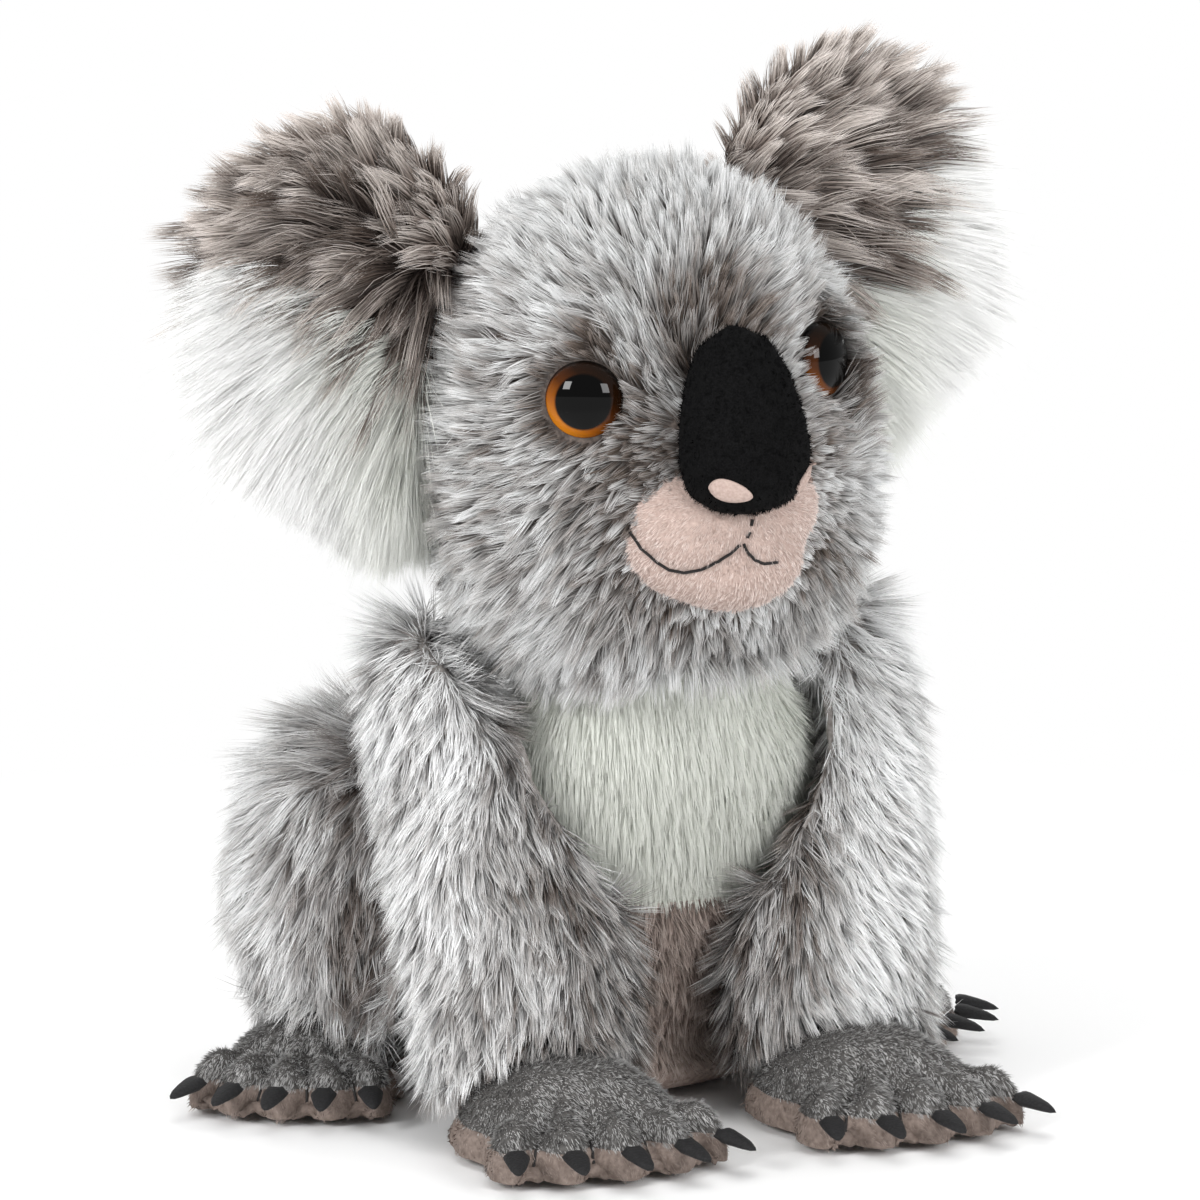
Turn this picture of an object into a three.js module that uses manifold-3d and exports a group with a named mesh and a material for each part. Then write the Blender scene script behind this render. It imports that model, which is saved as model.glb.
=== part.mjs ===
// Seated plush koala, in millimetres: +Z up, the face towards -Y and the toy's right side at -X.
// The origin is on the flat seat that the toy rests on, midway between its right and left sides.
// Every form is the outer surface of the standing pile, and cloth and pile together are one wall.
import * as THREE from 'three';
import { mergeVertices } from 'three/addons/utils/BufferGeometryUtils.js';
import Module from 'manifold-3d';

const wasm = await Module();
wasm.setup();

// Gaps between pieces, the walls of cloth and pile, and how far a cut runs past what it cuts
const SEAM_GAP = 0.3;
const NECK_GAP = 1.1;
const BODY_PELT = 8;
const HEAD_PELT = 7;
const LIMB_PELT = 6.5;
const CUT_OVERRUN = 180;

// Torso: a pear that leans forward from the seat to the neck
const TORSO_HEIGHT = 95;
const TORSO_HALF_WIDTH = 53;
const TORSO_HALF_DEPTH = 42;
const TORSO_BASE_BACK = 17;
const SEAT_PANEL_HEIGHT = 9;
const BIB_SEAM_FORWARD = 12;
const BELLY_SEAM_HEIGHT = 46;
const BEAN_BAG_HEIGHT = 22;

// Neck: a ball on the torso, a lining over it and a hollow under the head, about one centre
const NECK_FORWARD = 16;
const NECK_HEIGHT = 100;
const NECK_BALL_RADIUS = 29;
const NECK_LINING = 2.2;
const NECK_LINING_ANGLE = 72;

// Head, as it is tilted on the neck, and how far it turns there
const HEAD_TILT = 6;
const HEAD_TURN_RANGE = 15;
const HEAD_NOD_RANGE = 8;
const HEAD_HALF_HEIGHT = 57;
const HEAD_HALF_WIDTH = 51;
const HEAD_FRONT_DEPTH = 39;
const HEAD_BACK_DEPTH = 45;
const HEAD_FORWARD = 12;
const HEAD_LIFT = 48.5;
const CROWN_SEAM_BACK = 16;

// Safety eyes: a dome with a stem, held by a washer behind the cloth
const EYE_RADIUS = 8;
const EYE_DOME = 5;
const EYE_SPREAD = 27;
const EYE_FORWARD = 26;
const EYE_LIFT = 12;
const EYE_TURN = 30;
const EYE_SOCKET_RIM = 1.2;
const EYE_STEM_RADIUS = 2.5;
const EYE_STEM_LENGTH = 17;
const WASHER_RADIUS = 6.5;
const WASHER_THICKNESS = 1.6;

// Nose pad, muzzle and mouth
const NOSE_HEIGHT = 40;
const NOSE_HALF_WIDTH = 14.5;
const NOSE_HALF_DEPTH = 13;
const NOSE_FOOT_DROP = 14.5;
const NOSE_FORWARD = 41.5;
const NOSTRIL_WIDTH = 7;
const NOSTRIL_HEIGHT = 4;
const NOSTRIL_THICKNESS = 1.2;
const NOSTRIL_SPREAD = 6;
const NOSTRIL_RISE = 7;
const LIP_WIDTH = 12;
const LIP_DEPTH = 16;
const LIP_HEIGHT = 11;
const LIP_SPREAD = 9;
const LIP_FORWARD = 27;
const LIP_DROP = 15;
const CHIN_WIDTH = 15.5;
const CHIN_DEPTH = 13.5;
const CHIN_HEIGHT = 10;
const CHIN_FORWARD = 31;
const CHIN_DROP = 25.5;
const THREAD_RADIUS = 0.8;
const SMILE_REACH = 18;
const PHILTRUM_LENGTH = 7;

// Ears: two flaps of long pile that stand out from the sides of the head
const EAR_REACH = 35;
const EAR_HALF_HEIGHT = 50;
const EAR_HALF_THICKNESS = 13;
const EAR_SPREAD = 60;
const EAR_BACK = 17;
const EAR_LIFT = 24.5;
const EAR_HINGE_SPREAD = 41;
const EAR_SWING = 15;
const EAR_SEAM_SLOPE = 32;

// Arms: thick columns from the shoulders down to the front paws
const ARM_TOP_HEIGHT = 113;
const ARM_CUFF_HEIGHT = 9;
const ARM_HALF_WIDTH = 26.5;
const ARM_HALF_DEPTH = 21;
const SHOULDER_SPREAD = 47;
const SHOULDER_FORWARD = 8;
const CUFF_SPREAD = 35.5;
const CUFF_FORWARD = 31;
const ARM_PIVOT_SPREAD = 44;
const ARM_PIVOT_FORWARD = 9;
const ARM_PIVOT_HEIGHT = 88;
const ARM_SWING = 20;

// Hind legs: a round haunch on each side of the seat
const HAUNCH_HALF_WIDTH = 31;
const HAUNCH_HALF_DEPTH = 37;
const HAUNCH_HALF_HEIGHT = 45;
const HAUNCH_SPREAD = 49.5;
const HAUNCH_BACK = 27;
const HAUNCH_HEIGHT = 44;
const LEG_SWING = 10;

// Paws: a palm and five toes on a sole, front and hind
const SOLE_HEIGHT = 7.5;
const TOE_COUNT = 5;
const FRONT_PAW_SPREAD = 34.5;
const FRONT_PAW_FORWARD = 49;
const FRONT_PALM_HALF_WIDTH = 26.5;
const FRONT_PALM_HALF_LENGTH = 29;
const FRONT_PALM_HEIGHT = 22;
const FRONT_PAW_TURN = 2;
const HIND_PAW_SPREAD = 63;
const HIND_PAW_FORWARD = -20;
const HIND_PALM_HALF_WIDTH = 22;
const HIND_PALM_HALF_LENGTH = 25;
const HIND_PALM_HEIGHT = 20;
const HIND_PAW_TURN = 38;
const TOE_HALF_WIDTH = 7.6;
const TOE_HALF_LENGTH = 11;
const TOE_HEIGHT = 15;
const TOE_FAN = 20;
const TOE_SETBACK = 5;

// Claws: flat curved points, one on each toe
const CLAW_LENGTH = 13;
const CLAW_HALF_WIDTH = 2.8;
const CLAW_HALF_THICKNESS = 1.5;
const CLAW_DROOP = 2;
const CLAW_RISE = 7.6;
const CLAW_ROOT = 6;

// How finely round forms are faceted
const BODY_AROUND = 18;
const LIMB_AROUND = 14;
const SMALL_AROUND = 10;
const CLAW_AROUND = 6;
const THREAD_AROUND = 3;

// Directions, and the centre that the head turns about
const UP = new THREE.Vector3(0, 0, 1);
const FORWARD = new THREE.Vector3(0, -1, 0);
const ACROSS = new THREE.Vector3(1, 0, 0);
const NECK = new THREE.Vector3(0, -NECK_FORWARD, NECK_HEIGHT);

// Colours and finishes
function cloth(color) {
  return new THREE.MeshStandardMaterial({ color, roughness: 0.95, metalness: 0 });
}
const GREY_PLUSH = cloth('#a6a8aa');
const WHITE_PLUSH = cloth('#eceeea');
const BROWN_PLUSH = cloth('#7d706a');
const BEIGE_PLUSH = cloth('#cdbdb4');
const PAW_PLUSH = cloth('#6f7071');
const MUZZLE_PLUSH = cloth('#dccbc3');
const FILLING = cloth('#f3f2ee');
const PELLET_CLOTH = cloth('#d9d3c4');
const VELOUR = cloth('#101011');
const THREAD = cloth('#2c2523');
const CLAW_FELT = new THREE.MeshStandardMaterial({ color: '#3d3f42', roughness: 0.6, metalness: 0 });
const EYE_PLASTIC = new THREE.MeshStandardMaterial({ color: '#8a4a10', roughness: 0.1, metalness: 0 });
const WASHER_PLASTIC = new THREE.MeshStandardMaterial({ color: '#e6e4dd', roughness: 0.5, metalness: 0 });

// Solids
function solidOf(geometry) {
  const bare = geometry.clone();
  bare.deleteAttribute('normal');
  bare.deleteAttribute('uv');
  const merged = mergeVertices(bare);
  const corners = merged.index.array;
  const triangles = [];
  for (let start = 0; start < corners.length; start += 3) {
    const [a, b, c] = corners.slice(start, start + 3);
    if (a !== b && b !== c && c !== a) triangles.push(a, b, c);
  }
  return new wasm.Manifold(new wasm.Mesh({
    numProp: 3,
    vertProperties: new Float32Array(merged.attributes.position.array),
    triVerts: new Uint32Array(triangles),
  }));
}

function geometryOf(solid) {
  const mesh = solid.getMesh();
  const geometry = new THREE.BufferGeometry();
  geometry.setAttribute('position', new THREE.BufferAttribute(mesh.vertProperties, 3));
  geometry.setIndex(new THREE.BufferAttribute(mesh.triVerts, 1));
  geometry.computeVertexNormals();
  return geometry;
}

function joined(geometries) {
  return geometries.map(solidOf).reduce((whole, solid) => whole.add(solid));
}

// A ring with no width is a pole, so a loft that starts and ends with one is closed
function pole(x, y, z) {
  return { x, y, z, wide: 0, front: 0, back: 0 };
}

function loft(rings, around) {
  const points = [];
  const faces = [];
  const starts = rings.map((ring) => {
    const start = points.length / 3;
    const count = ring.wide > 0 ? around : 1;
    for (let step = 0; step < count; step += 1) {
      const angle = (2 * Math.PI * step) / around;
      const across = Math.sin(angle);
      const deep = across < 0 ? ring.front : ring.back;
      points.push(ring.x + ring.wide * Math.cos(angle), ring.y + deep * across, ring.z);
    }
    return start;
  });
  for (let level = 0; level + 1 < rings.length; level += 1) {
    const low = starts[level];
    const high = starts[level + 1];
    for (let step = 0; step < around; step += 1) {
      const next = (step + 1) % around;
      if (rings[level].wide === 0) faces.push(low, high + next, high + step);
      else if (rings[level + 1].wide === 0) faces.push(low + step, low + next, high);
      else faces.push(low + step, low + next, high + next, low + step, high + next, high + step);
    }
  }
  const geometry = new THREE.BufferGeometry();
  geometry.setAttribute('position', new THREE.Float32BufferAttribute(points, 3));
  geometry.setIndex(faces);
  return geometry;
}

function ellipsoid(wide, deep, high, around) {
  const ball = new THREE.SphereGeometry(1, around, around / 2);
  return ball.rotateX(Math.PI / 2).scale(wide, deep, high);
}

function rod(radius, from, to, around) {
  const length = to - from;
  const cylinder = new THREE.CylinderGeometry(radius, radius, length, around);
  return cylinder.rotateX(Math.PI / 2).translate(0, 0, from + length / 2);
}

// Everything on the side of a point that the direction looks to
function beyond(point, direction) {
  const size = 2 * CUT_OVERRUN;
  const turn = new THREE.Quaternion().setFromUnitVectors(UP, direction.clone().normalize());
  const block = new THREE.BoxGeometry(size, size, size).translate(0, 0, size / 2);
  return solidOf(block.applyQuaternion(turn).translate(point.x, point.y, point.z));
}

// Two pieces of one form, parted by a seam through the point
function parted(solid, point, direction) {
  const step = direction.clone().normalize().multiplyScalar(SEAM_GAP / 2);
  const near = solid.intersect(beyond(point.clone().add(step), direction));
  const far = solid.intersect(beyond(point.clone().sub(step), direction.clone().negate()));
  return [near, far];
}

function turnedAbout(geometry, pivot, axis, degrees) {
  const turned = geometry.clone().translate(-pivot.x, -pivot.y, -pivot.z);
  turned.applyMatrix4(new THREE.Matrix4().makeRotationAxis(axis, THREE.MathUtils.degToRad(degrees)));
  return turned.translate(pivot.x, pivot.y, pivot.z);
}

// The angles at which a swing is followed
function stages(swing) {
  return [0, 0.25, 0.5, 0.75, 1].map((share) => share * swing);
}

// All that a form takes up as it turns about a pivot
function swept(geometry, pivot, axis, turns) {
  return joined(turns.map((degrees) => turnedAbout(geometry, pivot, axis, degrees)));
}

// Bodies: each moving body is a group that sits at its joint
const koala = new THREE.Group();
koala.name = 'koala';
koala.userData.joint = new THREE.Vector3(0, 0, 0);

function bodyAt(parent, joint) {
  const group = new THREE.Group();
  group.position.copy(joint).sub(parent.userData.joint);
  group.userData.joint = joint.clone();
  parent.add(group);
  return group;
}

// Solids are written in the frame of the whole toy, and meshes in that of their own group
function piece(group, name, solid, material) {
  const { joint } = group.userData;
  const geometry = geometryOf(solid).translate(-joint.x, -joint.y, -joint.z);
  const mesh = new THREE.Mesh(geometry, material);
  mesh.name = name;
  group.add(mesh);
}

// Torso. Rows of shares: height, width, depth and how far it leans towards the neck
const TORSO_SHARES = [
  [0, 0.78, 0.78, 0],
  [0.05, 0.93, 0.93, 0],
  [0.22, 1, 1, 0.04],
  [0.45, 0.99, 0.99, 0.22],
  [0.67, 0.93, 0.92, 0.5],
  [0.84, 0.82, 0.82, 0.76],
  [0.95, 0.68, 0.7, 0.92],
];
const NECK_BALL_SHARES = [0, 0.3, 0.55, 0.8];

function torsoForm(inset) {
  const lean = TORSO_BASE_BACK + NECK_FORWARD;
  const ballRadius = NECK_BALL_RADIUS - inset;
  const rings = TORSO_SHARES.map(([height, width, depth, follow]) => {
    const deep = TORSO_HALF_DEPTH * depth - inset;
    return {
      x: 0,
      y: TORSO_BASE_BACK - lean * follow,
      z: inset + (TORSO_HEIGHT - inset) * height,
      wide: TORSO_HALF_WIDTH * width - inset,
      front: deep,
      back: deep,
    };
  });
  const ballRings = NECK_BALL_SHARES.map((share) => {
    const angle = (share * Math.PI) / 2;
    const wide = ballRadius * Math.cos(angle);
    return { x: 0, y: NECK.y, z: NECK.z + ballRadius * Math.sin(angle), wide, front: wide, back: wide };
  });
  const seat = pole(0, rings[0].y, rings[0].z);
  const crown = pole(0, NECK.y, NECK.z + ballRadius);
  return loft([seat, ...rings, ...ballRings, crown], BODY_AROUND);
}

function buildTorso(group) {
  const cavity = solidOf(torsoForm(BODY_PELT));
  const shell = solidOf(torsoForm(0));
  const seatSeam = new THREE.Vector3(0, 0, SEAT_PANEL_HEIGHT);
  const [upper, seatPanel] = parted(shell, seatSeam, UP);
  const bibSeam = new THREE.Vector3(0, -BIB_SEAM_FORWARD, NECK_HEIGHT);
  const bibNormal = new THREE.Vector3(0, -NECK_HEIGHT, TORSO_BASE_BACK - BIB_SEAM_FORWARD);
  const [front, back] = parted(upper.subtract(cavity), bibSeam, bibNormal);
  const bellySeam = new THREE.Vector3(0, 0, BELLY_SEAM_HEIGHT);
  const [bib, belly] = parted(front, bellySeam, UP);
  const filling = solidOf(torsoForm(BODY_PELT + SEAM_GAP)).intersect(
    beyond(new THREE.Vector3(0, 0, SEAT_PANEL_HEIGHT + SEAM_GAP), UP),
  );
  const bagSeam = new THREE.Vector3(0, 0, SEAT_PANEL_HEIGHT + BEAN_BAG_HEIGHT);
  const [stuffing, beanBag] = parted(filling, bagSeam, UP);
  piece(group, 'seat_panel', seatPanel, BEIGE_PLUSH);
  piece(group, 'back_panel', back, GREY_PLUSH);
  piece(group, 'chest_bib', bib, WHITE_PLUSH);
  piece(group, 'belly_panel', belly, BEIGE_PLUSH);
  piece(group, 'torso_stuffing', stuffing, FILLING);
  piece(group, 'seat_bean_bag', beanBag, PELLET_CLOTH);
}

// Neck lining: a bowl between the ball of the torso and the hollow of the head
function neckRing(radius, angle) {
  const wide = radius * Math.sin(angle);
  const z = NECK.z + radius * Math.cos(angle);
  return angle > 0 ? { x: 0, y: NECK.y, z, wide, front: wide, back: wide } : pole(0, NECK.y, z);
}

function buildNeck(group) {
  const inner = NECK_BALL_RADIUS + NECK_GAP;
  const outer = inner + NECK_LINING;
  const edge = THREE.MathUtils.degToRad(NECK_LINING_ANGLE);
  const shares = [0, 1 / 4, 1 / 2, 3 / 4, 1];
  const down = shares.map((share) => neckRing(inner, share * edge));
  const up = shares.map((share) => neckRing(outer, (1 - share) * edge));
  piece(group, 'neck_lining', solidOf(loft([...down, ...up], BODY_AROUND)), WHITE_PLUSH);
}

// Head. Rows of shares of its half height, width and depth, from the chin up to the crown
const HEAD_SHARES = [
  [-0.95, 0.42, 0.42],
  [-0.8, 0.74, 0.72],
  [-0.55, 0.94, 0.92],
  [-0.25, 1, 1],
  [0.08, 0.99, 0.99],
  [0.4, 0.9, 0.91],
  [0.67, 0.74, 0.75],
  [0.87, 0.5, 0.5],
  [0.97, 0.25, 0.25],
];

function inHead(across, forward, up) {
  return new THREE.Vector3(across, NECK.y - HEAD_FORWARD - forward, NECK.z + HEAD_LIFT + up);
}

function headForm(inset) {
  const centre = inHead(0, 0, 0);
  const high = HEAD_HALF_HEIGHT - inset;
  const rings = HEAD_SHARES.map(([height, width, depth]) => ({
    x: centre.x,
    y: centre.y,
    z: centre.z + high * height,
    wide: (HEAD_HALF_WIDTH - inset) * width,
    front: (HEAD_FRONT_DEPTH - inset) * depth,
    back: (HEAD_BACK_DEPTH - inset) * depth,
  }));
  const chin = pole(centre.x, centre.y, centre.z - high);
  const crown = pole(centre.x, centre.y, centre.z + high);
  return loft([chin, ...rings, crown], BODY_AROUND);
}

function neckHollow(extra) {
  const radius = NECK_BALL_RADIUS + NECK_LINING + 2 * NECK_GAP + extra;
  return ellipsoid(radius, radius, radius, BODY_AROUND).translate(NECK.x, NECK.y, NECK.z);
}

// Puts a form made along +Z onto the face, looking out along the eye's axis
function alongEye(geometry, side) {
  const place = inHead(side * EYE_SPREAD, EYE_FORWARD, EYE_LIFT);
  geometry.rotateX(Math.PI / 2);
  geometry.rotateZ(THREE.MathUtils.degToRad(side * EYE_TURN));
  return geometry.translate(place.x, place.y, place.z);
}

function noseForm(extra) {
  const shares = [
    [0.05, 0.62, 0.6],
    [0.16, 0.92, 0.92],
    [0.32, 1, 1],
    [0.52, 0.93, 0.92],
    [0.72, 0.78, 0.76],
    [0.88, 0.56, 0.5],
  ];
  const foot = inHead(0, NOSE_FORWARD, -NOSE_FOOT_DROP - extra);
  const high = NOSE_HEIGHT + 2 * extra;
  const rings = shares.map(([height, width, depth]) => ({
    x: foot.x,
    y: foot.y,
    z: foot.z + high * height,
    wide: NOSE_HALF_WIDTH * width + extra,
    front: NOSE_HALF_DEPTH * depth + extra,
    back: NOSE_HALF_DEPTH * depth + extra,
  }));
  const top = pole(foot.x, foot.y, foot.z + high);
  return loft([pole(foot.x, foot.y, foot.z), ...rings, top], SMALL_AROUND);
}

// The muzzle is two lips over a chin: each is a centre and its half sizes
function muzzleLobes() {
  const lips = [-1, 1].map((side) => ({
    centre: inHead(side * LIP_SPREAD, LIP_FORWARD, -LIP_DROP),
    size: new THREE.Vector3(LIP_WIDTH, LIP_DEPTH, LIP_HEIGHT),
  }));
  const chin = {
    centre: inHead(0, CHIN_FORWARD, -CHIN_DROP),
    size: new THREE.Vector3(CHIN_WIDTH, CHIN_DEPTH, CHIN_HEIGHT),
  };
  return [...lips, chin];
}

function muzzleForm(extra) {
  return joined(muzzleLobes().map(({ centre, size }) => {
    const lobe = ellipsoid(size.x + extra, size.y + extra, size.z + extra, SMALL_AROUND);
    return lobe.translate(centre.x, centre.y, centre.z);
  }));
}

// The front of the muzzle at a place across and up from the middle of the mouth
function onMuzzle(across, up) {
  const seam = inHead(across, 0, (-LIP_DROP - CHIN_DROP) / 2 + up);
  const fronts = muzzleLobes().map(({ centre, size }) => {
    const wide = (seam.x - centre.x) / size.x;
    const high = (seam.z - centre.z) / size.z;
    const left = 1 - wide * wide - high * high;
    return centre.y - size.y * Math.sqrt(Math.max(left, 0));
  });
  return new THREE.Vector3(seam.x, Math.min(...fronts) - THREAD_RADIUS / 2, seam.z);
}

function thread(points) {
  const section = new THREE.Shape().absarc(0, 0, THREAD_RADIUS, 0, 2 * Math.PI);
  const path = new THREE.CatmullRomCurve3(points);
  return new THREE.ExtrudeGeometry(section, {
    steps: 2 * points.length,
    curveSegments: THREAD_AROUND,
    extrudePath: path,
    bevelEnabled: false,
  });
}

// A smile that sags under each lip and meets the philtrum's foot in the middle
function mouthStitching() {
  const acrossShares = [-1, -0.75, -0.5, -0.22, 0, 0.22, 0.5, 0.75, 1];
  const footShare = 0.3;
  const sagShare = 0.5;
  const archShare = 0.75;
  const smile = acrossShares.map((share) => {
    const sag = sagShare * Math.sin(Math.abs(share) * Math.PI * archShare);
    return onMuzzle(share * SMILE_REACH, LIP_HEIGHT * (footShare - sag));
  });
  const foot = LIP_HEIGHT * footShare;
  const philtrum = [0, 1 / 3, 2 / 3, 1].map((share) => onMuzzle(0, foot + PHILTRUM_LENGTH * share));
  return joined([thread(smile), thread(philtrum)]);
}

function nostrilPatch(side) {
  const rise = NOSTRIL_RISE - NOSE_FOOT_DROP;
  const place = inHead(side * NOSTRIL_SPREAD, NOSE_FORWARD + NOSE_HALF_DEPTH, rise);
  const plug = ellipsoid(NOSTRIL_WIDTH / 2, NOSE_HALF_DEPTH, NOSTRIL_HEIGHT / 2, SMALL_AROUND);
  plug.translate(place.x, place.y, place.z);
  const band = solidOf(noseForm(SEAM_GAP + NOSTRIL_THICKNESS)).subtract(solidOf(noseForm(SEAM_GAP)));
  return solidOf(plug).intersect(band);
}

// A round hole or pin along the axis of an eye
function eyeRod(side, radius, from, to, around) {
  return solidOf(alongEye(rod(radius, from, to, around), side));
}

function buildHead(group) {
  let openings = solidOf(neckHollow(0));
  let room = solidOf(neckHollow(SEAM_GAP));
  for (const side of [-1, 1]) {
    const recess = eyeRod(side, EYE_RADIUS + EYE_SOCKET_RIM, -SEAM_GAP, CUT_OVERRUN, LIMB_AROUND);
    const stemHole = eyeRod(side, EYE_STEM_RADIUS + SEAM_GAP, -EYE_STEM_LENGTH, 0, SMALL_AROUND);
    const pocket = eyeRod(side, WASHER_RADIUS + SEAM_GAP, -EYE_STEM_LENGTH - SEAM_GAP, 0, SMALL_AROUND);
    openings = openings.add(recess).add(stemHole);
    room = room.add(pocket);
  }
  const shell = solidOf(headForm(0)).subtract(solidOf(headForm(HEAD_PELT))).subtract(openings);
  const [face, back] = parted(shell, inHead(0, -CROWN_SEAM_BACK, 0), FORWARD);
  const stuffing = solidOf(headForm(HEAD_PELT + SEAM_GAP)).subtract(room);
  piece(group, 'face_panel', face, GREY_PLUSH);
  piece(group, 'head_back_panel', back, BROWN_PLUSH);
  piece(group, 'head_stuffing', stuffing, FILLING);
}

function buildEye(group, side, hand) {
  const ball = solidOf(alongEye(ellipsoid(EYE_RADIUS, EYE_RADIUS, EYE_DOME, LIMB_AROUND), side));
  const dome = ball.intersect(eyeRod(side, CUT_OVERRUN, 0, CUT_OVERRUN, SMALL_AROUND));
  const stem = eyeRod(side, EYE_STEM_RADIUS, -EYE_STEM_LENGTH, EYE_DOME / 2, SMALL_AROUND);
  piece(group, `eye_${hand}`, dome.add(stem), EYE_PLASTIC);
  const washerBack = HEAD_PELT + SEAM_GAP - EYE_STEM_LENGTH;
  const disc = eyeRod(side, WASHER_RADIUS, washerBack, washerBack + WASHER_THICKNESS, SMALL_AROUND);
  const bore = eyeRod(side, EYE_STEM_RADIUS + SEAM_GAP, -CUT_OVERRUN, CUT_OVERRUN, SMALL_AROUND);
  piece(group, `eye_washer_${hand}`, disc.subtract(bore), WASHER_PLASTIC);
}

function buildMouth(group) {
  const face = solidOf(headForm(-SEAM_GAP));
  const lips = muzzleForm(SEAM_GAP);
  const stitching = mouthStitching().subtract(lips).subtract(solidOf(noseForm(SEAM_GAP))).subtract(face);
  piece(group, 'muzzle', muzzleForm(0).subtract(face), MUZZLE_PLUSH);
  piece(group, 'nose', solidOf(noseForm(0)).subtract(face).subtract(lips), VELOUR);
  piece(group, 'mouth_stitching', stitching, THREAD);
}

function buildEar(parent, side, hand) {
  const hinge = inHead(side * EAR_HINGE_SPREAD, -EAR_BACK, EAR_LIFT);
  const group = bodyAt(parent, hinge);
  const centre = inHead(side * EAR_SPREAD, -EAR_BACK, EAR_LIFT);
  const flap = solidOf(ellipsoid(EAR_REACH, EAR_HALF_THICKNESS, EAR_HALF_HEIGHT, LIMB_AROUND)
    .translate(centre.x, centre.y, centre.z));
  const head = swept(headForm(-SEAM_GAP), hinge, UP, [-EAR_SWING, 0, EAR_SWING]);
  const slope = THREE.MathUtils.degToRad(EAR_SEAM_SLOPE);
  const seamNormal = new THREE.Vector3(0, -Math.cos(slope), -Math.sin(slope));
  const [front, back] = parted(flap.subtract(head), centre, seamNormal);
  piece(group, `ear_front_${hand}`, front, WHITE_PLUSH);
  piece(group, `ear_back_${hand}`, back, BROWN_PLUSH);
}

// Paws
function toeTurn(index) {
  return TOE_FAN * (index - (TOE_COUNT - 1) / 2);
}

function placePaw(geometry, paw) {
  return geometry.rotateZ(THREE.MathUtils.degToRad(paw.turn)).translate(paw.x, paw.y, 0);
}

function toeAt(geometry, paw, index, forward) {
  const turn = toeTurn(index);
  const spread = (paw.wide / paw.long) * Math.sin(THREE.MathUtils.degToRad(turn));
  const ahead = Math.cos(THREE.MathUtils.degToRad(turn));
  const reach = paw.long - TOE_SETBACK;
  geometry.translate(0, -forward, 0).rotateZ(THREE.MathUtils.degToRad(turn / 2));
  geometry.translate(reach * spread * Math.SQRT2, -reach * ahead, 0);
  return placePaw(geometry, paw);
}

function pawForm(paw, extra) {
  const palm = placePaw(ellipsoid(paw.wide + extra, paw.long + extra, paw.high + extra, LIMB_AROUND), paw);
  const toes = [];
  for (let index = 0; index < TOE_COUNT; index += 1) {
    const toe = ellipsoid(TOE_HALF_WIDTH + extra, TOE_HALF_LENGTH + extra, TOE_HEIGHT + extra, SMALL_AROUND);
    toes.push(toeAt(toe, paw, index, 0));
  }
  return joined([palm, ...toes]);
}

function clawForm(paw, index) {
  const shares = [
    [0, 0.8],
    [0.35, 1],
    [0.75, 0.6],
  ];
  const rings = shares.map(([along, size]) => ({
    x: 0,
    y: -CLAW_DROOP * along * along,
    z: CLAW_LENGTH * along,
    wide: CLAW_HALF_WIDTH * size,
    front: CLAW_HALF_THICKNESS * size,
    back: CLAW_HALF_THICKNESS * size,
  }));
  const tip = pole(0, -CLAW_DROOP, CLAW_LENGTH);
  const claw = loft([pole(0, 0, 0), ...rings, tip], CLAW_AROUND).rotateX(Math.PI / 2);
  return solidOf(toeAt(claw.translate(0, 0, CLAW_RISE), paw, index, CLAW_ROOT));
}

function buildPaw(group, paw, limb, around) {
  const floor = new THREE.Vector3(0, 0, 0);
  const form = pawForm(paw, 0).intersect(beyond(floor, UP)).subtract(around);
  const [top, sole] = parted(form, new THREE.Vector3(0, 0, SOLE_HEIGHT), UP);
  piece(group, `${limb}_top_${paw.hand}`, top, PAW_PLUSH);
  piece(group, `${limb}_sole_${paw.hand}`, sole, BEIGE_PLUSH);
  const grown = pawForm(paw, SEAM_GAP);
  for (let index = 0; index < TOE_COUNT; index += 1) {
    const claw = clawForm(paw, index).subtract(grown);
    piece(group, `${limb}_claw_${paw.hand}_${index + 1}`, claw, CLAW_FELT);
  }
}

function frontPaw(side, hand) {
  return {
    hand,
    x: side * FRONT_PAW_SPREAD,
    y: -FRONT_PAW_FORWARD,
    wide: FRONT_PALM_HALF_WIDTH,
    long: FRONT_PALM_HALF_LENGTH,
    high: FRONT_PALM_HEIGHT,
    turn: side * FRONT_PAW_TURN,
  };
}

function hindPaw(side, hand) {
  return {
    hand,
    x: side * HIND_PAW_SPREAD,
    y: -HIND_PAW_FORWARD,
    wide: HIND_PALM_HALF_WIDTH,
    long: HIND_PALM_HALF_LENGTH,
    high: HIND_PALM_HEIGHT,
    turn: side * HIND_PAW_TURN,
  };
}

// Arms. Rows of shares: height from the cuff to the top, width, depth and pull to the shoulder
const ARM_SHARES = [
  [0, 0.94, 0.95, 0],
  [0.14, 1, 1, 0.02],
  [0.32, 1, 1, 0.16],
  [0.52, 0.95, 1, 0.42],
  [0.7, 0.84, 1, 0.7],
  [0.84, 0.76, 0.92, 0.88],
  [0.95, 0.52, 0.64, 0.97],
];

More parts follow.
